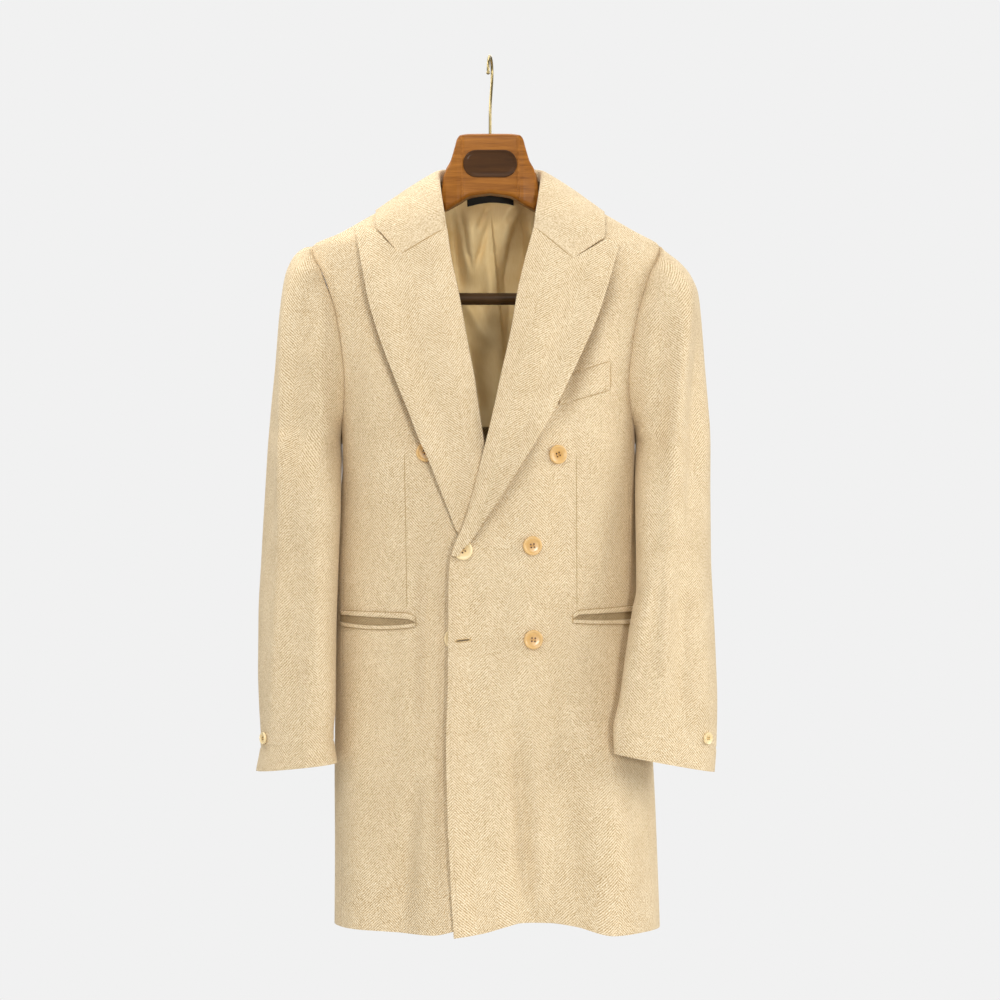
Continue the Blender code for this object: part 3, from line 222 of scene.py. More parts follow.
# Sections of the sleeves by distance from the middle plane. Above the underarm a section is open
# towards the body and its ends lie on the armhole seam.
SLEEVE_ROW = "z inner outer centre_y half_depth lean opening"
RIGHT_SLEEVE = table(
    SLEEVE_ROW,
    (-0.239, 0.2215, 0.2300, -0.001, 0.006, 0.0, 125),
    (-0.2435, 0.2207, 0.2385, -0.001, 0.018, 0.0, 129),
    (-0.250, 0.2196, 0.2460, -0.001, 0.028, 0.0, 136),
    (-0.260, 0.2151, 0.2525, -0.001, 0.040, 0.0, 138),
    (-0.275, 0.2033, 0.2585, -0.002, 0.052, 0.0, 136),
    (-0.300, 0.1916, 0.2630, -0.003, 0.061, 0.0, 134),
    (-0.335, 0.1759, 0.2670, -0.003, 0.067, 0.0, 130),
    (-0.390, 0.1655, 0.2712, -0.004, 0.070, 0.0, 129),
    (-0.445, 0.1700, 0.2768, -0.002, 0.070, 0.0, 140),
    (-0.470, 0.1770, 0.2790, -0.001, 0.0685, 0.0, 153),
    (-0.487, 0.1877, 0.2802, -0.0035, 0.0705, 0.0, 180),
    (-0.510, 0.1868, 0.2817, -0.009, 0.073, 0.12, 180),
    (-0.560, 0.1866, 0.2850, -0.022, 0.066, 0.44, 180),
    (-0.635, 0.1890, 0.2889, -0.028, 0.059, 0.44, 180),
    (-0.705, 0.1912, 0.2918, -0.036, 0.055, 0.42, 180),
    (-0.770, 0.1920, 0.2918, -0.043, 0.051, 0.40, 180),
    (-0.820, 0.1922, 0.2898, -0.048, 0.047, 0.38, 180),
    (-0.860, 0.1945, 0.2875, -0.051, 0.044, 0.36, 180),
    (-0.899, 0.1900, 0.2935, -0.053, 0.042, 0.35, 180),
)
LEFT_SLEEVE = table(
    SLEEVE_ROW,
    (-0.239, 0.2135, 0.2160, -0.001, 0.006, 0.0, 125),
    (-0.2435, 0.2127, 0.2190, -0.001, 0.018, 0.0, 129),
    (-0.250, 0.2110, 0.2265, -0.001, 0.028, 0.0, 136),
    (-0.260, 0.2054, 0.2395, -0.001, 0.040, 0.0, 138),
    (-0.275, 0.1926, 0.2525, -0.002, 0.052, 0.0, 136),
    (-0.300, 0.1811, 0.2630, -0.003, 0.061, 0.0, 134),
    (-0.335, 0.1663, 0.2670, -0.003, 0.067, 0.0, 130),
    (-0.390, 0.1558, 0.2712, -0.004, 0.070, 0.0, 129),
    (-0.445, 0.1617, 0.2757, -0.003, 0.070, 0.0, 140),
    (-0.470, 0.1702, 0.2777, -0.002, 0.0685, 0.0, 153),
    (-0.487, 0.1837, 0.2782, -0.0045, 0.0705, 0.0, 180),
    (-0.510, 0.1828, 0.2782, -0.0100, 0.0730, 0.12, 180),
    (-0.560, 0.1816, 0.2782, -0.0255, 0.0660, 0.44, 180),
    (-0.635, 0.1820, 0.2780, -0.0430, 0.0555, 0.45, 180),
    (-0.670, 0.1818, 0.2790, -0.0520, 0.0515, 0.44, 180),
    (-0.695, 0.1768, 0.2800, -0.0600, 0.0475, 0.43, 180),
    (-0.745, 0.1683, 0.2818, -0.0715, 0.0410, 0.41, 180),
    (-0.810, 0.1595, 0.2838, -0.0780, 0.0345, 0.40, 180),
    (-0.867, 0.1518, 0.2828, -0.0815, 0.0285, 0.42, 180),
    (-0.899, 0.1528, 0.2805, -0.0825, 0.0270, 0.42, 180),
)

# How square a sleeve's section is, what share of a row is drawn to the armhole, and the cuffs' slant.
SLEEVE_ROUND = 2.2
SLEEVE_PIN = 0.36
UNDERARM_PIN = 0.08
PIN_Z = -0.400
CUFF_Z = -0.899
RIGHT_CUFF_SLANT = 0.0125
LEFT_CUFF_SLANT = 0.0270
CUFF_RAMP_Z = -0.78

# Front buttons by their place in the front view; over tells which front they sit on.
BUTTONS = table(
    "name x z over",
    ("button_left_top", 0.0829, -0.5038, True),
    ("button_left_middle", 0.0520, -0.6162, True),
    ("button_left_low", 0.0532, -0.7322, True),
    ("button_right_top", -0.0791, -0.5013, False),
    ("button_fastened", -0.0330, -0.6220, True),
    ("button_right_low", -0.0442, -0.7316, False),
)
RIGHT_CUFF_BUTTON_X = -0.2800
LEFT_CUFF_BUTTON_X = 0.2687
CUFF_BUTTON_Z = -0.8575

# Strips that lie on the fronts, by the two ends of their upper and lower edges.
# bow lowers a strip's middle and close its inner end.
STRIPS = table(
    "name over inner_x inner_top inner_low outer_x outer_top outer_low bow close",
    ("breast_welt", True, 0.0860, -0.4085, -0.4425, 0.1497, -0.3878, -0.4231, 0.0, 0.0),
    ("right_pocket_upper", False, -0.0920, -0.7002, -0.7078, -0.1880, -0.6980, -0.7036, 0.0, 0.0043),
    ("right_pocket_lower", False, -0.0920, -0.7122, -0.7168, -0.1880, -0.7122, -0.7172, 0.0036, 0.0),
    ("left_pocket_upper", True, 0.1028, -0.6975, -0.7026, 0.1820, -0.6923, -0.6992, 0.0, 0.0043),
    ("left_pocket_lower", True, 0.1028, -0.7079, -0.7122, 0.1820, -0.7090, -0.7147, 0.0008, 0.0),
)

# The lining and label of the upper back, inside.
LINING_HALF = 0.150
LINING_TOP_Z = -0.163
LINING_EASE = 0.010
LABEL_HALF = 0.031
LABEL_TOP_Z = -0.166
LABEL_LOW_Z = -0.184

# Upright sections of the wooden yoke on each side of the middle. A top of None follows the shoulder.
YOKE = table(
    "x top low half_depth corner",
    (0.0000, -0.0978, -0.1734, 0.0190, 0.0060),
    (0.0250, -0.0980, -0.1772, 0.0190, 0.0060),
    (0.0370, -0.0995, -0.1840, 0.0190, 0.0060),
    (0.0415, -0.1040, -0.1866, 0.0190, 0.0060),
    (0.0445, -0.1140, -0.1885, 0.0188, 0.0070),
    (0.0500, -0.1320, -0.1915, 0.0185, 0.0070),
    (0.0555, -0.1420, -0.1945, 0.0182, 0.0070),
    (0.0595, -0.1520, -0.1965, 0.0180, 0.0175),
    (0.0620, -0.1680, -0.1980, 0.0180, 0.0175),
    (0.0800, None, -0.2080, 0.0170, 0.0165),
    (0.1100, None, -0.2270, 0.0170, 0.0165),
    (0.1400, None, -0.2480, 0.0180, 0.0175),
    (0.1695, None, -0.2720, 0.0200, 0.0194),
    (0.1702, None, -0.3190, 0.0200, 0.0194),
    (0.1900, None, -0.3180, 0.0210, 0.0204),
    (0.2010, -0.2380, -0.3080, 0.0180, 0.0175),
    (0.2050, -0.2500, -0.2960, 0.0120, 0.0116),
)

# The plaque, the buttons, the hook and the trouser bar.
PLAQUE_HALF = 0.034
PLAQUE_TOP_Z = -0.1190
PLAQUE_LOW_Z = -0.1535

BUTTON_RADIUS = 0.012
CUFF_BUTTON_RADIUS = 0.0075
BUTTON_THICK = 0.0036
SHANK_RADIUS = 0.0024
SHANK_HEIGHT = 0.0012

HOOK_WIRE = 0.0018
HOOK_BEND = 0.020
HOOK_TURN = math.radians(83.0)

BAR_RADIUS = 0.0075
BAR_Z = -0.3056
BAR_HALF = 0.1700

# Creases pressed or hung into the cloth. Each runs from its top to its low end in the front view, and
# is a ridge (+) or a trough (-) of that half width. The face under is the right front alone, and
# chest is the hollow below the outer edge of a lapel.
CREASE_ROW = "face x_top z_top x_low z_low width height"
BODY_CREASES = table(
    CREASE_ROW,
    ("under", -0.056, -0.590, -0.056, -1.092, 0.0100, -0.0065),
    ("front", -0.077, -0.600, -0.080, -0.900, 0.011, -0.0062),
    ("front", -0.088, -0.870, -0.110, -1.095, 0.012, -0.0065),
    ("front", -0.100, -0.620, -0.104, -0.880, 0.012, 0.0030),
    ("chest", -0.157, -0.265, -0.071, -0.520, 0.017, -0.0110),
    ("chest", 0.149, -0.265, 0.077, -0.470, 0.017, -0.0120),
    ("front", -0.150, -0.760, -0.152, -1.060, 0.014, -0.0022),
    ("front", 0.028, -0.820, 0.047, -1.090, 0.011, -0.0085),
    ("front", 0.053, -0.840, 0.066, -1.090, 0.012, 0.0055),
    ("front", 0.086, -0.780, 0.112, -1.090, 0.016, -0.0062),
    ("front", 0.150, -0.840, 0.166, -1.090, 0.018, 0.0042),
    ("front", 0.015, -0.640, -0.012, -0.860, 0.020, -0.0020),
    ("front", 0.080, -0.540, 0.074, -0.800, 0.022, -0.0020),
    ("front", 0.135, -0.470, 0.126, -0.640, 0.020, 0.0022),
    ("front", -0.132, -0.470, -0.128, -0.650, 0.020, 0.0022),
    ("front", 0.150, -0.300, 0.164, -0.440, 0.016, -0.0032),
    ("front", -0.158, -0.300, -0.168, -0.450, 0.014, -0.0030),
    ("back", -0.075, -0.300, -0.062, -0.520, 0.020, -0.0045),
    ("back", 0.080, -0.300, 0.070, -0.540, 0.022, -0.0045),
    ("back", 0.135, -0.340, 0.150, -0.560, 0.016, -0.0067),
    ("back", -0.140, -0.330, -0.150, -0.540, 0.016, -0.0064),
    ("back", 0.024, -0.620, 0.016, -0.900, 0.020, -0.0045),
    ("back", -0.100, -0.640, -0.086, -1.060, 0.018, 0.0051),
    ("back", 0.096, -0.700, 0.088, -1.090, 0.018, 0.0059),
    ("back", 0.150, -0.780, 0.158, -1.080, 0.018, -0.0051),
    ("back", -0.018, -0.860, -0.012, -1.095, 0.016, 0.0051),
)
RIGHT_SLEEVE_CREASES = table(
    CREASE_ROW,
    ("front", -0.2550, -0.270, -0.2590, -0.640, 0.0075, 0.0070),
    ("front", -0.2580, -0.600, -0.2700, -0.860, 0.0090, 0.0041),
    ("front", -0.2220, -0.275, -0.2300, -0.380, 0.0140, -0.0065),
    ("front", -0.2370, -0.340, -0.2340, -0.560, 0.0120, -0.0045),
    ("front", -0.2140, -0.330, -0.2080, -0.520, 0.0110, 0.0032),
    ("front", -0.2360, -0.600, -0.2420, -0.840, 0.0130, -0.0026),
    ("front", -0.2120, -0.580, -0.2080, -0.800, 0.0110, 0.0026),
    ("back", -0.2500, -0.300, -0.2420, -0.560, 0.0130, -0.0043),
    ("back", -0.2220, -0.340, -0.2160, -0.600, 0.0120, 0.0038),
    ("back", -0.2480, -0.560, -0.2560, -0.800, 0.0130, 0.0032),
    ("back", -0.2260, -0.600, -0.2300, -0.860, 0.0120, -0.0032),
)
LEFT_SLEEVE_CREASES = table(
    CREASE_ROW,
    ("front", 0.2480, -0.275, 0.2230, -0.550, 0.0110, 0.0085),
    ("front", 0.2180, -0.320, 0.2060, -0.520, 0.0110, -0.0045),
    ("front", 0.2030, -0.640, 0.1800, -0.760, 0.0085, 0.0054),
    ("front", 0.2220, -0.630, 0.2130, -0.800, 0.0090, 0.0051),
    ("front", 0.2410, -0.620, 0.2360, -0.860, 0.0110, -0.0069),
    ("front", 0.2610, -0.350, 0.2500, -0.610, 0.0090, -0.0070),
    ("front", 0.2730, -0.350, 0.2740, -0.620, 0.0080, 0.0050),
    ("front", 0.2600, -0.640, 0.2660, -0.860, 0.0110, 0.0039),
    ("front", 0.2120, -0.500, 0.2040, -0.640, 0.0110, -0.0039),
    ("back", 0.2420, -0.300, 0.2360, -0.560, 0.0130, -0.0045),
    ("back", 0.2160, -0.340, 0.2120, -0.580, 0.0120, 0.0039),
    ("back", 0.2440, -0.560, 0.2500, -0.800, 0.0130, 0.0036),
    ("back", 0.2140, -0.620, 0.2040, -0.860, 0.0120, -0.0036),
)

# Folds of the satin lining in the front view, seen through the neck.
LINING_CREASES = table(
    CREASE_ROW,
    ("back", -0.0090, -0.176, 0.0020, -0.330, 0.0070, 0.0040),
    ("back", -0.0250, -0.172, -0.0240, -0.276, 0.0150, 0.0160),
    ("back", -0.0520, -0.186, -0.0380, -0.300, 0.0090, -0.0112),
    ("back", -0.0404, -0.183, -0.0236, -0.264, 0.0036, -0.0052),
    ("back", -0.0010, -0.188, -0.0205, -0.264, 0.0042, -0.0046),
    ("back", 0.0620, -0.180, 0.0360, -0.300, 0.0090, 0.0120),
    ("back", 0.0230, -0.186, 0.0220, -0.262, 0.0060, 0.0050),
    ("back", 0.0410, -0.180, 0.0195, -0.300, 0.0085, -0.0135),
    ("back", 0.0400, -0.280, 0.0240, -0.400, 0.0100, -0.0144),
    ("back", -0.0400, -0.290, -0.0020, -0.360, 0.0110, 0.0096),
    ("back", -0.0300, -0.350, -0.0100, -0.450, 0.0090, -0.0080),
    ("back", -0.0060, -0.182, -0.0160, -0.204, 0.0040, -0.0048),
    ("back", 0.0330, -0.182, 0.0220, -0.200, 0.0050, -0.0048),
    ("back", 0.0900, -0.220, 0.0760, -0.440, 0.0180, -0.0112),
    ("back", -0.0900, -0.220, -0.0820, -0.440, 0.0180, -0.0112),
)

# The shares of its length over which a crease starts and ends.
CREASE_START = (-0.10, 0.30)
CREASE_END = (0.72, 1.12)

# Folds and creases fade towards the side line of the body, over this depth.
SIDE_CALM = 0.035

# The left front's free edge curls out below the button, between these heights and over this width.
EDGE_CURL = 0.0042
CURL_Z = (-0.60, -0.68)
CURL_WIDTH = 0.030

# Steps of the searches and slopes below.
TINY = 1e-9
SLOPE_STEP = 0.002
FACING_REACH = 0.7 * BUTTON_RADIUS
SETTLE_ROUNDS = 5
HALVINGS = 40
FINE_STEPS = 360


def track(rows, column, key="z"):
    """A smooth curve through one column of a table, which never swings past its rows."""
    places = np.array([getattr(row, key) for row in rows], dtype=float)
    values = np.array([getattr(row, column) for row in rows], dtype=float)
    order = np.argsort(places)
    places = places[order]
    values = values[order]
    steps = np.diff(places)
    slopes = np.diff(values) / steps
    tangents = np.empty(len(places))
    tangents[0] = slopes[0]
    tangents[-1] = slopes[-1]
    for i in range(1, len(slopes)):
        before, after = slopes[i - 1], slopes[i]
        tangents[i] = 2.0 * before * after / (before + after) if before * after > 0.0 else 0.0

    def value(at):
        at = np.clip(np.asarray(at, dtype=float), places[0], places[-1])
        i = np.clip(np.searchsorted(places, at) - 1, 0, len(steps) - 1)
        t = (at - places[i]) / steps[i]
        left = (1.0 + 2.0 * t) * (1.0 - t) ** 2 * values[i] + t * (1.0 - t) ** 2 * steps[i] * tangents[i]
        right = t * t * (3.0 - 2.0 * t) * values[i + 1] + t * t * (t - 1.0) * steps[i] * tangents[i + 1]
        return left + right

    return value


def through(values):
    """A rounded curve through a list of points, by their running number."""
    values = np.array(values, dtype=float)
    ends = np.vstack([2.0 * values[0] - values[1], values, 2.0 * values[-1] - values[-2]])

    def value(at):
        at = np.asarray(at, dtype=float)
        i = np.clip(at.astype(int), 0, len(values) - 2)
        f = (at - i)[..., None]
        p, q, r, s = ends[i], ends[i + 1], ends[i + 2], ends[i + 3]
        bend = 2.0 * p - 5.0 * q + 4.0 * r - s
        turn = 3.0 * q - p - 3.0 * r + s
        return 0.5 * (2.0 * q + (r - p) * f + bend * f * f + turn * f ** 3)

    return value


def spread(*spans):
    """Numbers over spans, each with its first number, its last one and how many there are."""
    return np.concatenate([np.linspace(*span) for span in spans])


def ease(start, end, at):
    """Goes smoothly from 0 at start to 1 at end."""
    t = np.clip((np.asarray(at, dtype=float) - start) / (end - start), 0.0, 1.0)
    return t * t * (3.0 - 2.0 * t)


def bell(distance, width):
    """The cross-section of a soft ridge: 1 on its crest, and low beyond its half width."""
    return np.exp(-((distance / width) ** 2))


def signed_power(value, power):
    return np.sign(value) * np.abs(value) ** power


def unit(vectors):
    return vectors / np.maximum(np.linalg.norm(vectors, axis=-1, keepdims=True), 1e-12)


def run_length(points):
    """Length along a line of points, from its start to each of them."""
    steps = np.linalg.norm(np.diff(points, axis=0), axis=-1)
    return np.concatenate([[0.0], np.cumsum(steps)])


def along_line(at, places, points):
    """The points at those places along a line of points."""
    return np.stack([np.interp(at, places, column) for column in points.T], axis=-1)


def last_below(low, high, below):
    """The height between low and high up to which the test below holds."""
    for _ in range(HALVINGS):
        middle = (low + high) / 2.0
        if below(middle):
            low = middle
        else:
            high = middle
    return (low + high) / 2.0


half_width = track(BODY, "half_width")
front_depth = track(BODY, "front")
back_depth = track(BODY, "back")
squareness = track(BODY, "squareness")
centre = track(BODY, "centre")
armhole_front = track(ARMHOLE, "front")
armhole_back = track(ARMHOLE, "back")
over_edge = track(OVER_EDGE, "x")
under_edge = track(UNDER_EDGE, "x")
lift_at = track(LIFT, "lift")
hem_over = track(HEM_OVER, "rise", "x")
hem_under = track(HEM_UNDER, "rise", "x")
lapel_rise = track(LAPEL_RISE, "out", "across")


def depth_at(y, z):
    return np.where(np.asarray(y) < 0.0, front_depth(z), back_depth(z))


def level(x, y, z):
    """Zero on the coat's form, growing outwards."""
    n = squareness(z)
    return np.abs((x - centre(z)) / half_width(z)) ** n + np.abs(y / depth_at(y, z)) ** n - 1.0


def outward(x, y, z):
    """The unit vector that points out of the coat's form."""
    n = squareness(z)
    a = half_width(z)
    b = depth_at(y, z)
    slope = (level(x, y, z + SLOPE_STEP) - level(x, y, z - SLOPE_STEP)) / (2.0 * SLOPE_STEP)
    across = n * signed_power((x - centre(z)) / a, n - 1.0) / a
    deep = n * signed_power(y / b, n - 1.0) / b
    return unit(np.stack([across, deep, slope], axis=-1))


def fold_height(face, x, z):
    """How far the skirt's folds on that face of the body stand out."""
    total = np.zeros(np.broadcast(x, z).shape)
    for fold in FOLDS:
        if fold.face == face:
            along = ease(fold.z_top, HEM_Z, z)
            middle = fold.x_top + (fold.x_hem - fold.x_top) * along
            total = total + fold.height * along * bell(x - middle, fold.width)
    return total


def crease_height(creases, face, x, z):
    """How far the creases of that face stand out."""
    total = np.zeros(np.broadcast(x, z).shape)
    for row in creases:
        if row.face == face:
            along = (row.z_top - z) / (row.z_top - row.z_low)
            middle = row.x_top + (row.x_low - row.x_top) * along
            reach = ease(*CREASE_START, along) * (1.0 - ease(*CREASE_END, along))
            total = total + row.height * reach * bell(x - middle, row.width)
    return total


def section_point(turn, z):
    """A point of the section at z. A turn of 0 is the front, of a right angle the wearer's left side."""
    turn, z = np.broadcast_arrays(np.asarray(turn, dtype=float), np.asarray(z, dtype=float))
    power = 2.0 / squareness(z)
    side = np.cos(turn)
    depth = np.where(side > 0.0, front_depth(z), back_depth(z))
    x = centre(z) + half_width(z) * signed_power(np.sin(turn), power)
    return np.stack([x, -depth * signed_power(side, power), z], axis=-1)


def skin(turn, z, out=0.0, rise=0.0):
    """Points of the coat, moved out along their normals by folds, creases and out."""
    point = section_point(turn, z)
    x, y, height = point[..., 0], point[..., 1], point[..., 2]
    normal = outward(x, y, height)
    ahead = fold_height("front", x, height) + crease_height(BODY_CREASES, "front", x, height)
    behind = fold_height("back", x, height) + crease_height(BODY_CREASES, "back", x, height)
    swell = np.where(y < 0.0, ahead, behind) * ease(0.0, SIDE_CALM, np.abs(y))
    moved = point + normal * (swell + out)[..., None]
    moved[..., 2] += rise
    return moved


def front_turn(x, z):
    """The turn at which the front of the section at z has that x."""
    u = np.clip((x - centre(z)) / half_width(z), -1.0, 1.0)
    return np.arcsin(signed_power(u, squareness(z) / 2.0))


def chest_dip(x, z):
    """How far the chest sinks under the outer edge of a lapel."""
    return crease_height(BODY_CREASES, "chest", x, z)


def over_lift(x, z):
    """How far the left front stands off, more along its free edge below the button."""
    curl = EDGE_CURL * ease(*CURL_Z, z) * (1.0 - ease(0.0, CURL_WIDTH, x - over_edge(z)))
    return lift_at(z) * (1.0 - ease(LIFT_FULL_X, LIFT_NONE_X, x)) + curl + chest_dip(x, z)


def under_dip(x, z):
    """How far the right front sinks beside the left front's edge."""
    return crease_height(BODY_CREASES, "under", x, z) + chest_dip(x, z)


def on_front(x, z, out, over):
    """The points of a front that are seen at x and z from the front, moved out."""
    x, z, out = np.broadcast_arrays(np.asarray(x, float), np.asarray(z, float), np.asarray(out, float))
    out = out + (over_lift(x, z) if over else under_dip(x, z))
    u, w = x.copy(), z.copy()
    point = skin(front_turn(u, w), w, out)
    for _ in range(SETTLE_ROUNDS):
        u = u + x - point[..., 0]
        w = w + z - point[..., 2]
        point = skin(front_turn(u, w), w, out)
    return point


def facing(x, z, over):
    """The unit vector out of a front at x and z, with its lift."""
    across = on_front(x + FACING_REACH, z, 0.0, over) - on_front(x - FACING_REACH, z, 0.0, over)
    up = on_front(x, z + FACING_REACH, 0.0, over) - on_front(x, z - FACING_REACH, 0.0, over)
    return unit(np.cross(across, up))


def armhole_turns(z):
    """The turns at which the armhole seam crosses the section at z, in front and behind."""
    low = ARMHOLE[-1].z
    front = float(front_turn(centre(z) + armhole_front(z), max(z, low)))
    back = math.pi - float(front_turn(centre(z) + armhole_back(z), max(z, low)))
    closed = float(ease(low, UNDERARM_Z, z))
    front += (UNDERARM_TURN - SEAM_TURN - front) * closed
    back += (UNDERARM_TURN + SEAM_TURN - back) * closed
    return front, back


def panel_ends(z):
    """The turns at which front and back end: shoulder seam, armhole or the seams of the side panel."""
    if z >= SHOULDER_Z - TINY:
        return math.pi / 2.0 - SEAM_TURN, math.pi / 2.0 + SEAM_TURN
    front, back = armhole_turns(z)
    if z > SIDE_TOP_Z:
        return front, back
    return min(front, FRONT_SEAM - SEAM_TURN), max(back, BACK_SEAM + SEAM_TURN)


def side_top(turn):
    """Height of the armhole seam over the side panel at that turn."""
    def below(z):
        front, back = armhole_turns(z)
        return not front < turn < back

    return last_below(UNDERARM_Z, SIDE_TOP_Z, below)


def shoulder_height(x):
    """Height of the shoulder seam at x."""
    def below(z):
        return math.copysign(1.0, x) * centre(z) + half_width(z) > abs(x)

    return last_below(SHOULDER_Z, BODY[0].z, below)


def row_turns(z, start, end, shares, origin):
    """Turns at those shares of the section's length from start to end, and their lengths from the origin."""
    fine = np.linspace(min(start, end, origin), max(start, end, origin), FINE_STEPS)
    lengths = run_length(section_point(fine, z))
    lengths = lengths - np.interp(origin, fine, lengths)
    first, last = np.interp([start, end], fine, lengths)
    along = first + (last - first) * shares
    return np.interp(along, lengths, fine), along


def hem_rise(x, z, over):
    """How far the hem of a front is raised."""
    return (hem_over(x) if over else hem_under(x)) * ease(HEM_START_Z, HEM_Z, z)


def back_rise(x, z):
    """How far the hem of the back and the sides is raised, in a straight line from front to front."""
    left, right = HEM_OVER[-1], HEM_UNDER[0]
    share = (x - right.x) / (left.x - right.x)
    return (right.rise + (left.rise - right.rise) * share) * ease(HEM_START_Z, HEM_Z, z)


def plain_mesh(obj):
    """The evaluated shape of an object as a mesh of its own. The object goes."""
    graph = bpy.context.evaluated_depsgraph_get()
    shape = obj.evaluated_get(graph)
    made = bpy.data.meshes.new_from_object(shape, preserve_all_data_layers=True, depsgraph=graph)
    bpy.data.objects.remove(obj)
    return made


def in_scene(name, data):
    """An object for that data, put into the scene."""
    made = bpy.data.objects.new(name, data)
    bpy.context.scene.collection.objects.link(made)
    return made


def piece(name, mesh, surface, slot, *nodes):
    """Puts a finished mesh into the scene, where it stands for those solids."""
    mesh.materials.clear()
    mesh.materials.append(surface)
    mesh.polygons.foreach_set("use_smooth", np.ones(len(mesh.polygons), dtype=bool))
    made = in_scene(name, mesh)
    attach(made, "root")
    if nodes:
        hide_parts(*nodes)
    return made


# Points closer than this are one, and faces thinner than the second value go.
MERGE = 1e-5
THIN_FACE = 1e-6

# Directions: level round the body, across and up the front view, and towards the viewer.
LEVEL = np.array([1.0, 1.0, 0.0])
ACROSS = np.array([1.0, 0.0, 0.0])
UPWARD = np.array([0.0, 0.0, 1.0])
VIEWER = np.array([0.0, -1.0, 0.0])


def grid_mesh(name, grid, grain):
    """A mesh of quads over a grid of points, with the cloth's own directions as its UV map, in metres."""
    rows, columns = grid.shape[:2]
    index = np.arange(rows * columns).reshape(rows, columns)
    quads = np.stack([index[:-1, :-1], index[1:, :-1], index[1:, 1:], index[:-1, 1:]], axis=-1)
    mesh = bpy.data.meshes.new(name)
    mesh.from_pydata(grid.reshape(-1, 3).tolist(), [], quads.reshape(-1, 4).tolist())
    corners = np.empty(len(mesh.loops), dtype=np.int32)
    mesh.loops.foreach_get("vertex_index", corners)
    mesh.uv_layers.new(name="grain").data.foreach_set("uv", grain.reshape(-1, 2)[corners].ravel())
    bm = bmesh.new()
    bm.from_mesh(mesh)
    bmesh.ops.remove_doubles(bm, verts=bm.verts, dist=MERGE)
    bmesh.ops.dissolve_degenerate(bm, edges=bm.edges, dist=THIN_FACE)
    bm.to_mesh(mesh)
    bm.free()
    return mesh


def grid_cross(grid):
    """Vectors square to a grid of points, at each of them."""
    return np.cross(np.gradient(grid, axis=0), np.gradient(grid, axis=1))


# How much of a cloth's thickness its edges are softened by, less where they meet at a seam.
EDGE_SOFT = 0.32
SEAM_SOFT = 0.16
SOFT_ANGLE = math.radians(55.0)


def cloth(name, grid, grain, thick, outside, surface, slot, *nodes, soft=EDGE_SOFT):
    """A sheet of cloth whose outer face is the grid. outside points out of that face."""
    if np.sum(grid_cross(grid) * outside) < 0.0:
        grid, grain = grid[:, ::-1], grain[:, ::-1]
    draft = in_scene(name + "_draft", grid_mesh(name, grid, grain))
    wall = draft.modifiers.new("Solidify", "SOLIDIFY")
    wall.thickness = thick
    wall.offset = -1.0
    edge = draft.modifiers.new("Bevel", "BEVEL")
    edge.width = thick * soft
    edge.segments = 2
    edge.limit_method = "ANGLE"
    edge.angle_limit = SOFT_ANGLE
    return piece(name, plain_mesh(draft), surface, slot, *nodes)


def panel(name, grid, grain, outside, node):
    """A panel of the coat's wool, which is sewn to its neighbours."""
    return cloth(name, grid, grain, CLOTH, outside, WOOL, "herringbone_wool", node, soft=SEAM_SOFT)


# Rows of the body panels, closer where the shoulder slopes and where the armhole closes.
BODY_ROWS = spread(
    (-0.160, -0.235, 18), (-0.239, -0.275, 16), (-0.279, -0.430, 34),
    (-0.434, -0.492, 18), (-0.497, HEM_Z, 120),
)
SIDE_ROWS = np.linspace(UNDERARM_Z, HEM_Z, 116)
FRONT_COLUMNS = 68
BACK_COLUMNS = 96
SIDE_COLUMNS = 31

# Columns of a front lie closer near its edge, by this power.
EDGE_CLOSER = 1.12

# Rows of a side panel follow the foot of the armhole, down to this far below the underarm.
ARMHOLE_FOOT = 0.13


def body_grain(grid, lengths):
    """The grain of a body panel: lengths round the body, and up its middle column."""
    columns = grid.shape[1]
    down = run_length(grid[:, columns // 2])
    return np.stack([np.array(lengths), np.repeat(-down[:, None], columns, axis=1)], axis=-1)


def front_cloth(name, over, node):
    """A front from its edge to the shoulder seam, the armhole and the side panel."""
    shares = np.linspace(0.0, 1.0, FRONT_COLUMNS) ** EDGE_CLOSER
    edge_at = over_edge if over else under_edge
    side = 1.0 if over else -1.0
    grid, along = [], []
    for z in BODY_ROWS:
        start = float(front_turn(edge_at(z), z))
        turns, lengths = row_turns(z, start, side * panel_ends(z)[0], shares, 0.0)
        x = section_point(turns, z)[:, 0]
        out = over_lift(x, z) if over else under_dip(x, z)
        grid.append(skin(turns, z, out, hem_rise(x, z, over)))
        along.append(lengths)
    grid = np.array(grid)
    return panel(name, grid, body_grain(grid, along), grid * LEVEL, node)


def back_cloth(name, node):
    """The back, from armhole to armhole and from side panel to side panel."""
    shares = np.linspace(0.0, 1.0, BACK_COLUMNS)
    grid, along = [], []
    for z in BODY_ROWS:
        end = panel_ends(z)[1]
        turns, lengths = row_turns(z, end, 2.0 * math.pi - end, shares, math.pi)
        x = section_point(turns, z)[:, 0]
        grid.append(skin(turns, z, rise=back_rise(x, z)))
        along.append(lengths)
    grid = np.array(grid)
    return panel(name, grid, body_grain(grid, along), grid * LEVEL, node)


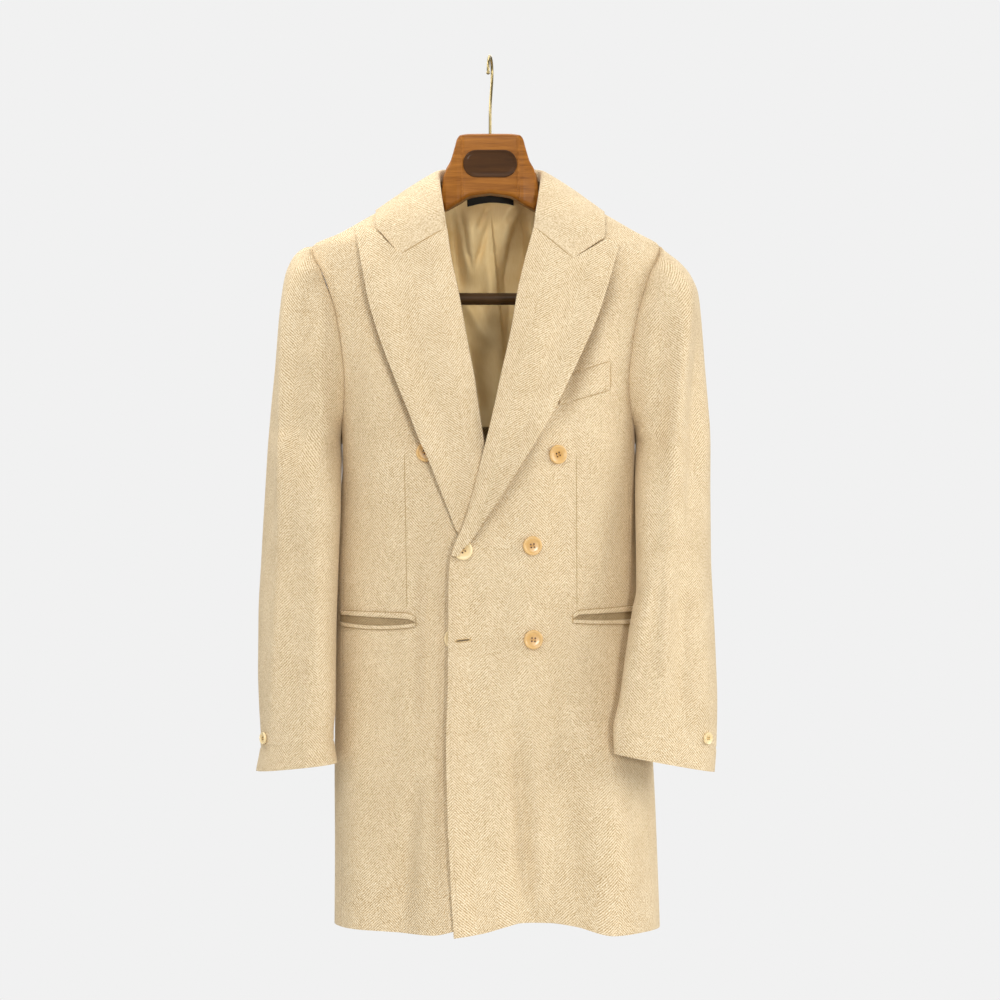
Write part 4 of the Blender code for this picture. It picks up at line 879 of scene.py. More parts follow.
def side_cloth(name, side, node):
    """The panel under the arm. Its top edge is the foot of the armhole."""
    turns = np.linspace(FRONT_SEAM + SEAM_TURN, BACK_SEAM - SEAM_TURN, SIDE_COLUMNS)
    tops = np.array([side_top(turn) for turn in turns])
    grid, along = [], []
    for z in SIDE_ROWS:
        heights = z + (tops - UNDERARM_Z) * (1.0 - ease(0.0, ARMHOLE_FOOT, UNDERARM_Z - z))
        x = section_point(side * turns, heights)[:, 0]
        grid.append(skin(side * turns, heights, rise=back_rise(x, heights)))
        lengths = run_length(grid[-1])
        along.append(side * (lengths - lengths[SIDE_COLUMNS // 2]))
    grid = np.array(grid)
    grain = np.stack([np.array(along), grid[..., 2]], axis=-1)
    return panel(name, grid, grain, grid * LEVEL, node)


SLEEVE_ROWS = spread(
    (-0.239, -0.262, 14), (-0.265, -0.462, 42), (-0.466, -0.496, 14),
    (-0.502, -0.860, 74), (-0.8625, CUFF_Z, 22),
)
SLEEVE_COLUMNS = 81

# A sleeve's creases fade towards its sides and its head.
SLEEVE_SIDE_CALM = (0.05, 0.55)
SLEEVE_HEAD_CALM = (-0.250, -0.290)

# The roll of the sleeve head beside the armhole seam, and how deep the seam is drawn in.
HEAD_ROLL = 0.0009
HEAD_ROLL_WIDTH = 0.009
HEAD_ROLL_LOW = (-0.470, -0.400)
HEAD_ROLL_TOP = (-0.242, -0.262)
SEAM_TUCK = 0.0005

# The pressed line above the turned-in edge of a cuff.
CUFF_LINE_Z = -0.8690
CUFF_LINE_DEPTH = 0.0009
CUFF_LINE_WIDTH = 0.0016

# The grain follows the cloth over the sleeve head and runs straight down below it.
HEAD_GRAIN = (-0.36, -0.30)
GRAIN_ZERO_Z = -0.5

# Small steps that give the direction of the cloth under a cuff button.
PLACE_TURN = 0.02
PLACE_RISE = 0.004


class SleeveForm:
    """The form of a sleeve. side is +1 for the wearer's left sleeve."""

    def __init__(self, rows, side, slant, creases):
        self.side = side
        self.slant = slant
        self.creases = creases
        self.inner = track(rows, "inner")
        self.outer = track(rows, "outer")
        self.centre_y = track(rows, "centre_y")
        self.half_depth = track(rows, "half_depth")
        self.lean = track(rows, "lean")
        self.opening = track(rows, "opening")

    def free_points(self, angles, z):
        """Points of the section; an angle of 0 is the outer side and of a right angle the front."""
        power = 2.0 / SLEEVE_ROUND
        inner, outer = self.inner(z), self.outer(z)
        middle = (inner + outer) / 2.0
        across = (outer - inner) / 2.0 * signed_power(np.cos(angles), power)
        y = self.centre_y(z) - self.half_depth(z) * signed_power(np.sin(angles), power)
        y = y + self.lean(z) * across
        share = (outer - middle - across) / (outer - inner)
        drop = self.slant * share * ease(CUFF_RAMP_Z, CUFF_Z, z)
        return np.stack([self.side * (middle + across), y, z + drop], axis=-1)

    def row(self, z, count):
        """One row of points. Above the underarm its ends are sewn to the armhole."""
        shares = np.linspace(0.0, 1.0, count)
        if z < UNDERARM_Z - TINY:
            return self.free_points(math.pi * (1.0 - 2.0 * shares), z)
        turns = (UNDERARM_TURN, UNDERARM_TURN)
        if z >= SHOULDER_Z - TINY:
            turns = (math.pi / 2.0, math.pi / 2.0)
        elif z > UNDERARM_Z:
            turns = armhole_turns(z)
        turns = self.side * np.array(turns)
        ends = skin(turns, z) + self.side * SEAM * ACROSS
        if SHOULDER_Z > z > UNDERARM_Z:
            ends = ends - SEAM_TUCK * outward(*section_point(turns, z).T)
        if z >= SHOULDER_Z - TINY:
            return np.repeat(ends[:1], count, axis=0)
        pin = UNDERARM_PIN + (SLEEVE_PIN - UNDERARM_PIN) * float(ease(UNDERARM_Z, PIN_Z, z))
        opening = math.radians(float(self.opening(z)))
        points = self.free_points(opening * (1.0 - 2.0 * shares), z)
        first, last = ends[0] - points[0], ends[1] - points[-1]
        points = points + first * (1.0 - ease(0.0, pin, shares))[:, None]
        return points + last * ease(1.0 - pin, 1.0, shares)[:, None]

    def cloth_grid(self, heights, count):
        """The sleeve with its creases, the roll of its head and the pressed line of its turned cuff."""
        grid = np.array([self.row(z, count) for z in heights])
        normal = unit(grid_cross(grid))
        axis = grid.mean(axis=1, keepdims=True)
        if np.sum(normal * (grid - axis)) < 0.0:
            normal = -normal
        x, z = grid[..., 0], grid[..., 2]
        ahead = crease_height(self.creases, "front", x, z)
        behind = crease_height(self.creases, "back", x, z)
        swell = np.where(normal[..., 1] < 0.0, ahead, behind)
        swell = swell * ease(*SLEEVE_SIDE_CALM, np.abs(normal[..., 1])) * ease(*SLEEVE_HEAD_CALM, z)
        lengths = np.array([run_length(row) for row in grid])
        near = np.minimum(lengths, lengths[:, -1:] - lengths) / HEAD_ROLL_WIDTH
        roll = HEAD_ROLL * near * np.exp(1.0 - near)
        swell = swell + roll * ease(*HEAD_ROLL_LOW, z) * ease(*HEAD_ROLL_TOP, z)
        swell = swell - CUFF_LINE_DEPTH * bell(heights[:, None] - CUFF_LINE_Z, CUFF_LINE_WIDTH)
        round_arm = lengths - lengths[:, count // 2][:, None]
        steps = np.diff(grid, axis=0)
        head = ease(*HEAD_GRAIN, heights[1:])[:, None]
        steps = np.linalg.norm(steps, axis=-1) * head + np.abs(steps[..., 2]) * (1.0 - head)
        down = np.concatenate([np.zeros((1, count)), np.cumsum(steps, axis=0)])
        down = down - down[np.argmin(np.abs(heights - GRAIN_ZERO_Z))]
        grain = np.stack([round_arm * self.side, -down], axis=-1)
        return grid + normal * swell[..., None], grain, grid - axis

    def place(self, x, z):
        """The point of the front of the closed sleeve seen at x, and the vector out of it."""
        middle = (self.inner(z) + self.outer(z)) / 2.0
        across = (self.side * x - middle) / ((self.outer(z) - self.inner(z)) / 2.0)
        angle = float(np.arccos(signed_power(across, SLEEVE_ROUND / 2.0)))
        point = self.free_points(angle, z)
        along = self.free_points(angle + PLACE_TURN, z) - self.free_points(angle - PLACE_TURN, z)
        down = self.free_points(angle, z - PLACE_RISE) - self.free_points(angle, z + PLACE_RISE)
        normal = unit(np.cross(along, down))
        return point, normal if normal[1] < 0.0 else -normal


def sleeve_cloth(name, form, node):
    grid, grain, outside = form.cloth_grid(SLEEVE_ROWS, SLEEVE_COLUMNS)
    return panel(name, grid, grain, outside, node)


# The roll of a lapel beyond its roll line: how far it goes past the line, and how far off the chest.
LAPEL_ROLL = table(
    "past out",
    (0.0002, -0.0030), (0.0019, -0.0022), (0.0030, -0.0002), (0.0027, 0.0018), (0.0015, 0.0031),
)
LAPEL_DOWNS = spread((0.0, 0.20, 26), (0.21, 1.0, 74))
LAPEL_ACROSS = np.unique(spread((0.0, 0.45, 18), (0.45, 0.82, 13), (0.82, 1.0, 9)))
LAPEL_STEPS = 500

# Shares of a lapel's length: where its top edge's corners fade, where its tail lifts over the button,
# and where its belly, its loose outer edge and its roll start and end.
TOP_FADE = 0.24
TAIL_LIFT = (0.80, 0.92)
BELLY_START = (0.10, 0.35)
BELLY_END = (0.65, 0.95)
LOOSE_START = (0.03, 0.14)
LOOSE_END = (0.72, 0.95)
ROLL_END = (0.55, 0.95)
LAPEL_BELLY = 0.0022
LAPEL_LOOSE = 0.0090
LOOSE_ACROSS = (0.55, 1.0)
ROLL_LOSS = 0.55


def lapel_grid(over, edge_rows, top_rows, break_z):
    """A lapel from its roll line out to its edge, and from the gorge down to the break."""
    roll_x = over_edge if over else under_edge
    fine = through([(row.x, row.z) for row in edge_rows])(np.linspace(0.0, len(edge_rows) - 1.0, LAPEL_STEPS))
    lengths = run_length(fine)
    edge = along_line(LAPEL_DOWNS * lengths[-1], lengths, fine)[:, None, :]
    roll_z = top_rows[0].z + (break_z - top_rows[0].z) * LAPEL_DOWNS
    roll = np.stack([roll_x(roll_z), roll_z], axis=-1)[:, None, :]
    keep = ((1.0 - np.minimum(LAPEL_DOWNS / TOP_FADE, 1.0)) ** 2)[:, None, None]
    across = LAPEL_ACROSS[None, :, None]
    corners = np.array([(row.x, row.z) for row in top_rows])
    top = along_line(LAPEL_ACROSS, [row.across for row in top_rows], corners)
    chord = corners[0] * (1.0 - across) + corners[-1] * across
    flat = roll * (1.0 - across) + edge * across + (top[None] - chord) * keep
    tail = ease(*TAIL_LIFT, LAPEL_DOWNS)[:, None]
    out = np.maximum(lapel_rise(LAPEL_ACROSS)[None, :], LAPEL_TAIL_OUT * tail)
    belly = ease(*BELLY_START, LAPEL_DOWNS) * (1.0 - ease(*BELLY_END, LAPEL_DOWNS))
    out = out + LAPEL_BELLY * np.sin(math.pi * LAPEL_ACROSS)[None, :] * belly[:, None]
    loose = ease(*LOOSE_START, LAPEL_DOWNS) * (1.0 - ease(*LOOSE_END, LAPEL_DOWNS))
    out = out + LAPEL_LOOSE * ease(*LOOSE_ACROSS, LAPEL_ACROSS)[None, :] * loose[:, None]
    x, z = flat[..., 0], flat[..., 1]
    face = on_front(x, z, out - chest_dip(x, z), over)
    sign = -1.0 if over else 1.0
    past = sign * (1.0 - ROLL_LOSS * ease(*ROLL_END, LAPEL_DOWNS))
    rolled = [on_front(roll[:, 0, 0] + step.past * past, roll_z, step.out, over) for step in LAPEL_ROLL]
    grid = np.concatenate([np.stack(rolled, axis=1), face], axis=1)
    lean = unit(roll[-1, 0] - roll[0, 0])
    from_gorge = grid[..., (0, 2)] - roll[0, 0]
    grain = np.stack([from_gorge @ np.array([-lean[1], lean[0]]), -(from_gorge @ lean)], axis=-1)
    return grid, grain


def lapel_cloth(name, grid, grain, node):
    outside = np.zeros_like(grid)
    outside[:, len(LAPEL_ROLL):] = VIEWER
    return cloth(name, grid, grain, LAPEL_CLOTH, outside, WOOL, "herringbone_wool", node)


# A collar row by shares from its edge to the crest, then the turn into the stand as shares of the
# fold's roll: how far in and how far down.
COLLAR_ACROSS = (1.0, 0.80, 0.62, 0.50, 0.34, 0.18, 0.05)
COLLAR_TURN = ((0.4, 0.0), (1.5, 0.7))
STAND_IN = 1.8
FALL_STEPS = 31
COLLAR_SAMPLES = spread((0.0, 6.0, FALL_STEPS), (6.15, 9.0, 18))
COLLAR_STATIONS = 145
COLLAR_STEP = 0.05
INSIDE_NECK = np.array([0.0, 0.01, -0.3])

# The gorge seam ends at this share of the lapel's top edge, and pulls this many stations with it.
NOTCH_ACROSS = 0.45
GORGE_FADE = 1.1


def sewn_to_lapel(grid, lapel, end, away, out_share):
    """The collar with one end drawn to the top edge of a lapel, from the crest to the notch."""
    top = lapel[0, len(LAPEL_ROLL):]
    top = top - SEAM * unit(lapel[1, len(LAPEL_ROLL):] - top)
    share = np.clip(out_share, 0.0, GORGE_ACROSS) / GORGE_ACROSS * NOTCH_ACROSS
    gap = along_line(share, LAPEL_ACROSS, top) - grid[end]
    notch = int(np.argmin(np.abs(out_share - GORGE_ACROSS)))
    beyond = gap[notch] * (1.0 - ease(GORGE_ACROSS, 1.0, out_share))[:, None]
    gap = np.where((out_share > GORGE_ACROSS)[:, None], beyond, gap)
    crest = int(np.argmax(out_share <= TINY))
    gap[crest:] = gap[crest]
    return grid + gap[None] * (1.0 - ease(0.0, GORGE_FADE, away))[:, None, None]


def collar_grid(right_lapel, left_lapel):
    """Stand and fall of the collar as one strip folded along its crest."""
    last = len(COLLAR) - 1.0
    fold_at = through([row.fold for row in COLLAR])
    edge_at = through([row.edge for row in COLLAR])
    rest_at = through([(row.crown, row.dip, row.stand) for row in COLLAR])
    shares = COLLAR_ACROSS + (0.0,)
    out_share = np.interp(COLLAR_SAMPLES, np.arange(len(shares)), shares)
    inner, outer = out_share / GORGE_ACROSS, (1.0 - out_share) / (1.0 - GORGE_ACROSS)
    tent = np.where(out_share < GORGE_ACROSS, inner, outer)
    stations = np.linspace(0.0, last, COLLAR_STATIONS)
    grid = []
    for t in stations:
        fold, edge = fold_at(t), edge_at(t)
        crown, dip, stand = rest_at(t)
        along = fold_at(min(t + COLLAR_STEP, last)) - fold_at(max(t - COLLAR_STEP, 0.0))
        fall = edge - fold
        out = unit(np.cross(along, fall))
        if np.dot(out, fold - INSIDE_NECK) < 0.0:
            out = -out
        inward = FOLD_ROLL * unit(-fall * LEVEL)
        row = [fold + fall * a + out * crown * 4.0 * a * (1.0 - a) for a in COLLAR_ACROSS]
        row += [fold + inward * away - UPWARD * FOLD_ROLL * drop for away, drop in COLLAR_TURN]
        row.append(fold + inward * STAND_IN - UPWARD * stand)
        sink = np.array([0.0, DIP_FORWARD * dip, dip])
        grid.append(through(row)(COLLAR_SAMPLES) - tent[:, None] * sink)
    grid = sewn_to_lapel(np.array(grid), right_lapel, 0, stations, out_share)
    return sewn_to_lapel(grid, left_lapel, -1, last - stations, out_share)


def collar_cloth(name, grid, node):
    down = np.array([run_length(row) for row in grid])
    around = np.stack([run_length(grid[:, i]) for i in range(grid.shape[1])], axis=1)
    grain = np.stack([around - around[COLLAR_STATIONS // 2], -down], axis=-1)
    outside = np.zeros_like(grid)
    outside[:, :FALL_STEPS - 1] = grid[:, :FALL_STEPS - 1] - INSIDE_NECK
    return cloth(name, grid, grain, LAPEL_CLOTH, outside, WOOL, "herringbone_wool", node)


# The welt and the jets: how far they rise, the share of a jet that bends at its inner end, and the
# shares of their length and width at which their points lie.
WELT_RISE = 0.0024
JET_RISE = 0.0034
STRIP_CLOSE = 0.13
STRIP_END = 0.014
STRIP_ALONG = np.concatenate([[0.0, 0.006, STRIP_END], np.linspace(0.03, 0.97, 40), [0.986, 0.994, 1.0]])
STRIP_DOWN = np.array([0.0, 0.05, 0.14, 0.32, 0.5, 0.68, 0.86, 0.95, 1.0])
STRIP_CROWN = np.array([0.15, 0.75, 0.96, 1.0, 1.0, 1.0, 0.96, 0.75, 0.15])


def strip_edges(row, across):
    """A strip from its inner end out: x and the heights of its edges, with its bow and its bent end."""
    bent = row.close * np.maximum(1.0 - across / STRIP_CLOSE, 0.0) ** 2
    sag = row.bow * 4.0 * across * (1.0 - across) + bent
    x = row.inner_x + (row.outer_x - row.inner_x) * across
    top = row.inner_top + (row.outer_top - row.inner_top) * across - sag
    low = row.inner_low + (row.outer_low - row.inner_low) * across - sag
    return x, top, low


def strip_cloth(row, rise, turned):
    """A strip on a front with pressed edges. turned lays its grain along its length."""
    ends = np.minimum(np.minimum(STRIP_ALONG, 1.0 - STRIP_ALONG) / STRIP_END, 1.0)
    x, top, low = strip_edges(row, STRIP_ALONG)
    z = top[:, None] + (low - top)[:, None] * STRIP_DOWN[None, :]
    crown = np.minimum(ends[:, None] ** 0.5, STRIP_CROWN[None, :])
    grid = on_front(x[:, None], z, STRIP_LAY + rise * crown, row.over)
    grain = grid[..., (2, 0)] if turned else grid[..., (0, 2)]
    return cloth(row.name + "_cloth", grid, grain, STRIP_CLOTH, VIEWER, WOOL, "herringbone_wool", row.name)


# How far the cloth in a pocket's mouth reaches under the jets, and its points along and down.
MOUTH_TUCK = 0.0012
MOUTH_ALONG = 60
MOUTH_DOWN = 5


def pocket_mouth(name, upper, lower):
    """A sheet of wool painted dark for the shade that shows between the two jets of a pocket."""
    across = np.linspace(0.0, 1.0, MOUTH_ALONG)
    x, _, top = strip_edges(upper, across)
    _, low, _ = strip_edges(lower, across)
    top, low = top + MOUTH_TUCK, low - MOUTH_TUCK
    z = top[:, None] + (low - top)[:, None] * np.linspace(0.0, 1.0, MOUTH_DOWN)[None, :]
    grid = on_front(x[:, None], z, MOUTH_LAY, upper.over)
    return cloth(name, grid, grid[..., (0, 2)], MOUTH_CLOTH, VIEWER, MOUTH_SHADE_WOOL, "herringbone_wool")


# The lining: its points, how loose it hangs, and the extra ease that opens below the label.
LINING_ROWS = spread((LINING_TOP_Z, -0.20, 26), (-0.203, -0.468, 84))
LINING_COLUMNS = 150
LINING_CLOSER = 1.3
LINING_SHARE = 0.80
LINING_LOOSE = 0.018
LOOSE_DROP = 0.05
EASE_DROP = 0.06
EASE_X = 0.006
EASE_WIDTH = 0.018

# The pleat's sharp lip leans to the wearer's left. Beyond it the cloth steps back, lies deep and returns.
PLEAT_TOP_X = -0.0003
PLEAT_TOP_Z = -0.182
PLEAT_FULL_Z = -0.245
PLEAT_LEAN = 0.094
PLEAT_DEPTH = 0.024
PLEAT_STEP = 0.016
PLEAT_LIP = 0.0016
PLEAT_BACK = 0.034
PLEAT_END = 0.075


def lining_out(x, z):
    """How far the lining lies inside the coat's form: close at the neck, looser below."""
    loose = ease(LINING_TOP_Z, LINING_TOP_Z - LOOSE_DROP, z)
    slack = LINING_EASE * ease(LABEL_LOW_Z, LABEL_LOW_Z - EASE_DROP, z) * bell(x - EASE_X, EASE_WIDTH)
    return CLOTH + LAY + LINING_LOOSE * loose + slack


def pleat_depth(x, z):
    """The pleat of the lining: its left part ends in a sharp lip, and the cloth beyond lies deep."""
    past = x - PLEAT_TOP_X - PLEAT_LEAN * (PLEAT_TOP_Z - z)
    fall = PLEAT_STEP * ease(0.0, PLEAT_LIP, past)
    fall = fall + (PLEAT_DEPTH - PLEAT_STEP) * ease(PLEAT_LIP, PLEAT_BACK, past)
    return -fall * ease(PLEAT_TOP_Z, PLEAT_FULL_Z, z) * (1.0 - ease(PLEAT_BACK, PLEAT_END, past))


def inner_back(x, z, inside):
    """Points inside the back, that far from the coat's form."""
    return skin(math.pi - front_turn(x, z), z, -inside)


def lining_cloth(name, node):
    """The satin half lining inside the upper back, with its pleat and the folds it has slumped into."""
    z = LINING_ROWS[:, None]
    reach = np.minimum(LINING_HALF, half_width(z) * LINING_SHARE)
    shares = np.linspace(-1.0, 1.0, LINING_COLUMNS)[None, :]
    x = centre(z) + reach * signed_power(shares, LINING_CLOSER)
    z = np.repeat(z, LINING_COLUMNS, axis=1)
    folds = crease_height(LINING_CREASES, "back", x, z) + pleat_depth(x, z)
    inside = np.maximum(lining_out(x, z) + LINING_CLOTH + folds, CLOTH + LAY + LINING_CLOTH)
    grid = inner_back(x, z, inside)
    return cloth(name, grid, np.stack([x, z], axis=-1), LINING_CLOTH, VIEWER, SATIN, "satin", node)


# The label's lower edge is tucked up and arched.
LABEL_ROWS = 9
LABEL_COLUMNS = 40
LABEL_ARCH = 0.0030
LABEL_TUCK = 0.0055


def label_cloth(name, node):
    """A bare woven tape at the back of the neck."""
    x = np.repeat(np.linspace(-LABEL_HALF, LABEL_HALF, LABEL_COLUMNS)[None, :], LABEL_ROWS, axis=0)
    low = LABEL_LOW_Z + LABEL_TUCK + LABEL_ARCH * (1.0 - (x / LABEL_HALF) ** 2)
    z = LABEL_TOP_Z + (low - LABEL_TOP_Z) * np.linspace(0.0, 1.0, LABEL_ROWS)[:, None]
    folds = np.maximum(crease_height(LINING_CREASES, "back", x, z), 0.0)
    grid = inner_back(x, z, lining_out(x, z) + LINING_CLOTH + LAY + folds + LABEL_CLOTH)
    return cloth(name, grid, np.stack([x, z], axis=-1), LABEL_CLOTH, VIEWER, LABEL_TAPE, "label_tape", node)


# A pressed line tapers over this many points at its ends.
SEAM_TAPER = 3.0


def seam_line(name, points, across, width, height, surface):
    """A narrow pressed line that lies on the cloth, tapered at its ends."""
    from_start = np.arange(len(points))
    taper = np.minimum(np.minimum(from_start, from_start[::-1]) / SEAM_TAPER, 1.0)[:, None]
    out = unit(np.cross(across, np.gradient(points, axis=0)))
    if np.sum(out[:, 1]) > 0.0:
        out = -out
    half = across * taper * width / 2.0
    grid = np.stack([points - half, points + out * height, points + half], axis=1)
    if np.sum(grid_cross(grid) * out[:, None, :]) < 0.0:
        grid = grid[:, ::-1]
    return piece(name, grid_mesh(name, grid, grid[..., (0, 2)]), surface, "herringbone_wool")


def colour(text):
    """An sRGB hex colour as linear values."""
    parts = [int(text[i:i + 2], 16) / 255.0 for i in (1, 3, 5)]
    linear = [part / 12.92 if part <= 0.04045 else ((part + 0.055) / 1.055) ** 2.4 for part in parts]
    return (*linear, 1.0)


def fill(tree, node, inputs):
    """Fills a node's inputs, each with a value, or a link from a socket or from a node's first socket."""
    for key, value in inputs.items():
        if isinstance(value, bpy.types.Node):
            value = value.outputs[0]
        if isinstance(value, bpy.types.NodeSocket):
            tree.links.new(value, node.inputs[key])
        else:
            node.inputs[key].default_value = value


def add(tree, kind, inputs=None, stops=(), **settings):
    """Adds a node with its settings and inputs. stops are the places and colours of a colour ramp."""
    made = tree.nodes.new(kind)
    for key, value in settings.items():
        setattr(made, key, value)
    for at, _ in stops[1:-1]:
        made.color_ramp.elements.new(at)
    for i, (at, tint) in enumerate(stops):
        made.color_ramp.elements[i].position = at
        made.color_ramp.elements[i].color = colour(tint)
    fill(tree, made, inputs or {})
    return made


def finish_named(name, values):
    """A new material with its tree and its shader, which gets those uniform values."""
    made = bpy.data.materials.new(name)
    made.use_nodes = True
    shader = made.node_tree.nodes["Principled BSDF"]
    fill(made.node_tree, shader, values)
    return made, made.node_tree, shader


def per_metre(count, millimetres):
    """The scale of a pattern that has so many cells on so many millimetres."""
    return 1000.0 * count / millimetres


# Herringbone of the coat: stripes of slanted twill lines that turn at every stripe. The real lines are
# about 2 mm apart and are drawn a little wider to show. Its flecks, and the threads of the satin and the
# tapes, are real ones drawn coarser for the same reason.
STRIPE = 0.0245
TWILL_PITCH = 0.0034

# How far the stripes wander and the twill lines wobble.
STRIPE_WANDER = 0.0022
TWILL_WOBBLE = 0.0018


def woven_wool(name, deep, dark, light):
    """Brushed herringbone wool: soft chevrons with flecked yarns, a matt face and a faint bloom of nap."""
    made, tree, shader = finish_named(name, {
        "Roughness": 0.88, "IOR": 1.45, "Specular IOR Level": 0.25,
        "Sheen Weight": 0.22, "Sheen Roughness": 0.45, "Sheen Tint": colour("#fff1d6"),
    })
    grain = add(tree, "ShaderNodeUVMap", uv_map="grain")
    place = add(tree, "ShaderNodeTexCoord").outputs["Object"]
    wander = add(tree, "ShaderNodeTexNoise", {"Vector": place, "Scale": per_metre(6, 100), "Detail": 2.0})
    centred = {0: wander, 1: STRIPE_WANDER, 2: -STRIPE_WANDER / 2.0}
    shift = add(tree, "ShaderNodeMath", centred, operation="MULTIPLY_ADD")
    axes = add(tree, "ShaderNodeSeparateXYZ", {0: grain})
    u = add(tree, "ShaderNodeMath", {0: axes.outputs["X"], 1: shift}, operation="ADD")
    zigzag = add(tree, "ShaderNodeMath", {0: u, 1: STRIPE}, operation="PINGPONG")
    parity = add(tree, "ShaderNodeMath", {0: u, 1: 2.0 * STRIPE}, operation="FLOORED_MODULO")
    odd = add(tree, "ShaderNodeMath", {0: parity, 1: STRIPE}, operation="GREATER_THAN")
    rise = add(tree, "ShaderNodeMath", {0: zigzag, 1: axes.outputs["Y"]}, operation="ADD")
    offset = add(tree, "ShaderNodeMath", {0: odd, 1: TWILL_PITCH / 2.0, 2: rise}, operation="MULTIPLY_ADD")
    wobble = add(tree, "ShaderNodeTexNoise", {"Vector": place, "Scale": per_metre(13, 50), "Detail": 2.0})
    phase = add(tree, "ShaderNodeMath", {0: wobble, 1: TWILL_WOBBLE, 2: offset}, operation="MULTIPLY_ADD")
    turns = add(tree, "ShaderNodeMath", {0: phase, 1: 2.0 * math.pi / TWILL_PITCH}, operation="MULTIPLY")
    wave = add(tree, "ShaderNodeMath", {0: turns}, operation="SINE")
    twill = add(tree, "ShaderNodeMath", {0: wave, 1: 0.5, 2: 0.5}, operation="MULTIPLY_ADD")
    fleck = add(tree, "ShaderNodeTexNoise", {
        "Vector": place, "Scale": per_metre(14, 25), "Detail": 3.0, "Roughness": 0.75,
    })
    broad = add(tree, "ShaderNodeTexNoise", {
        "Vector": place, "Scale": per_metre(11, 500), "Detail": 4.0, "Roughness": 0.6,
    })
    yarn = add(tree, "ShaderNodeMath", {0: fleck, 1: 1.9, 2: -0.93}, operation="MULTIPLY_ADD")
    mixed = add(tree, "ShaderNodeMath", {0: twill, 1: 0.54, 2: yarn}, operation="MULTIPLY_ADD")
    cloudy = add(tree, "ShaderNodeMath", {0: broad, 1: 0.24, 2: mixed}, operation="MULTIPLY_ADD")
    ramp = add(tree, "ShaderNodeValToRGB", {0: cloudy}, ((0.0, deep), (0.44, dark), (0.90, light)))
    height = add(tree, "ShaderNodeMath", {0: fleck, 1: 0.8, 2: twill}, operation="MULTIPLY_ADD")
    bump = add(tree, "ShaderNodeBump", {"Strength": 0.55, "Distance": 0.0004, "Height": height})
    fill(tree, shader, {"Base Color": ramp, "Normal": bump})
    return made


def lining_satin(name):
    """Gold satin: long floating threads that give a soft bright gloss across the folds."""
    made, tree, shader = finish_named(name, {
        "Roughness": 0.42, "Specular IOR Level": 0.4, "Specular Tint": colour("#f0d8a0"),
        "Sheen Weight": 0.15, "Sheen Tint": colour("#f0dcb0"),
    })
    grain = add(tree, "ShaderNodeUVMap", uv_map="grain")
    place = add(tree, "ShaderNodeTexCoord").outputs["Object"]
    floats = {"Vector": grain, "Scale": (per_metre(9, 10), per_metre(9, 100), 1.0)}
    stretch = add(tree, "ShaderNodeMapping", floats)
    threads = add(tree, "ShaderNodeTexNoise", {"Vector": stretch, "Scale": 1.0, "Detail": 2.0})
    broad = add(tree, "ShaderNodeTexNoise", {"Vector": place, "Scale": per_metre(3, 100), "Detail": 3.0})
    both = add(tree, "ShaderNodeMath", {0: threads, 1: 0.35, 2: broad}, operation="MULTIPLY_ADD")
    ramp = add(tree, "ShaderNodeValToRGB", {0: both}, ((0.40, "#e8c689"), (0.95, "#fae0aa")))
    bump = add(tree, "ShaderNodeBump", {"Strength": 0.12, "Distance": 0.0002, "Height": threads})
    fill(tree, shader, {"Base Color": ramp, "Normal": bump})
    return made


def woven_tape(name, dark, light, threads):
    """Plain-woven tape, twill or thread: a fine matt grid of threads."""
    made, tree, shader = finish_named(name, {"Roughness": 0.8})
    grain = add(tree, "ShaderNodeUVMap", uv_map="grain")
    place = add(tree, "ShaderNodeTexCoord").outputs["Object"]
    weave = add(tree, "ShaderNodeTexChecker", {
        "Vector": grain, "Scale": threads, "Color1": colour(dark), "Color2": colour(light),
    })
    fuzz = add(tree, "ShaderNodeTexNoise", {"Vector": place, "Scale": per_metre(7, 10), "Detail": 2.0})
    bump = add(tree, "ShaderNodeBump", {"Strength": 0.4, "Distance": 0.0002, "Height": fuzz})
    fill(tree, shader, {"Base Color": weave, "Normal": bump})
    return made


# The four holes of a button: how far out they lie and how wide they are, as shares of its radius.
HOLE_OUT = 0.165
HOLE_RADIUS = 0.085

# Painted shade fills each hole and reaches a little past its rim.
HOLE_SHADE = 1.05


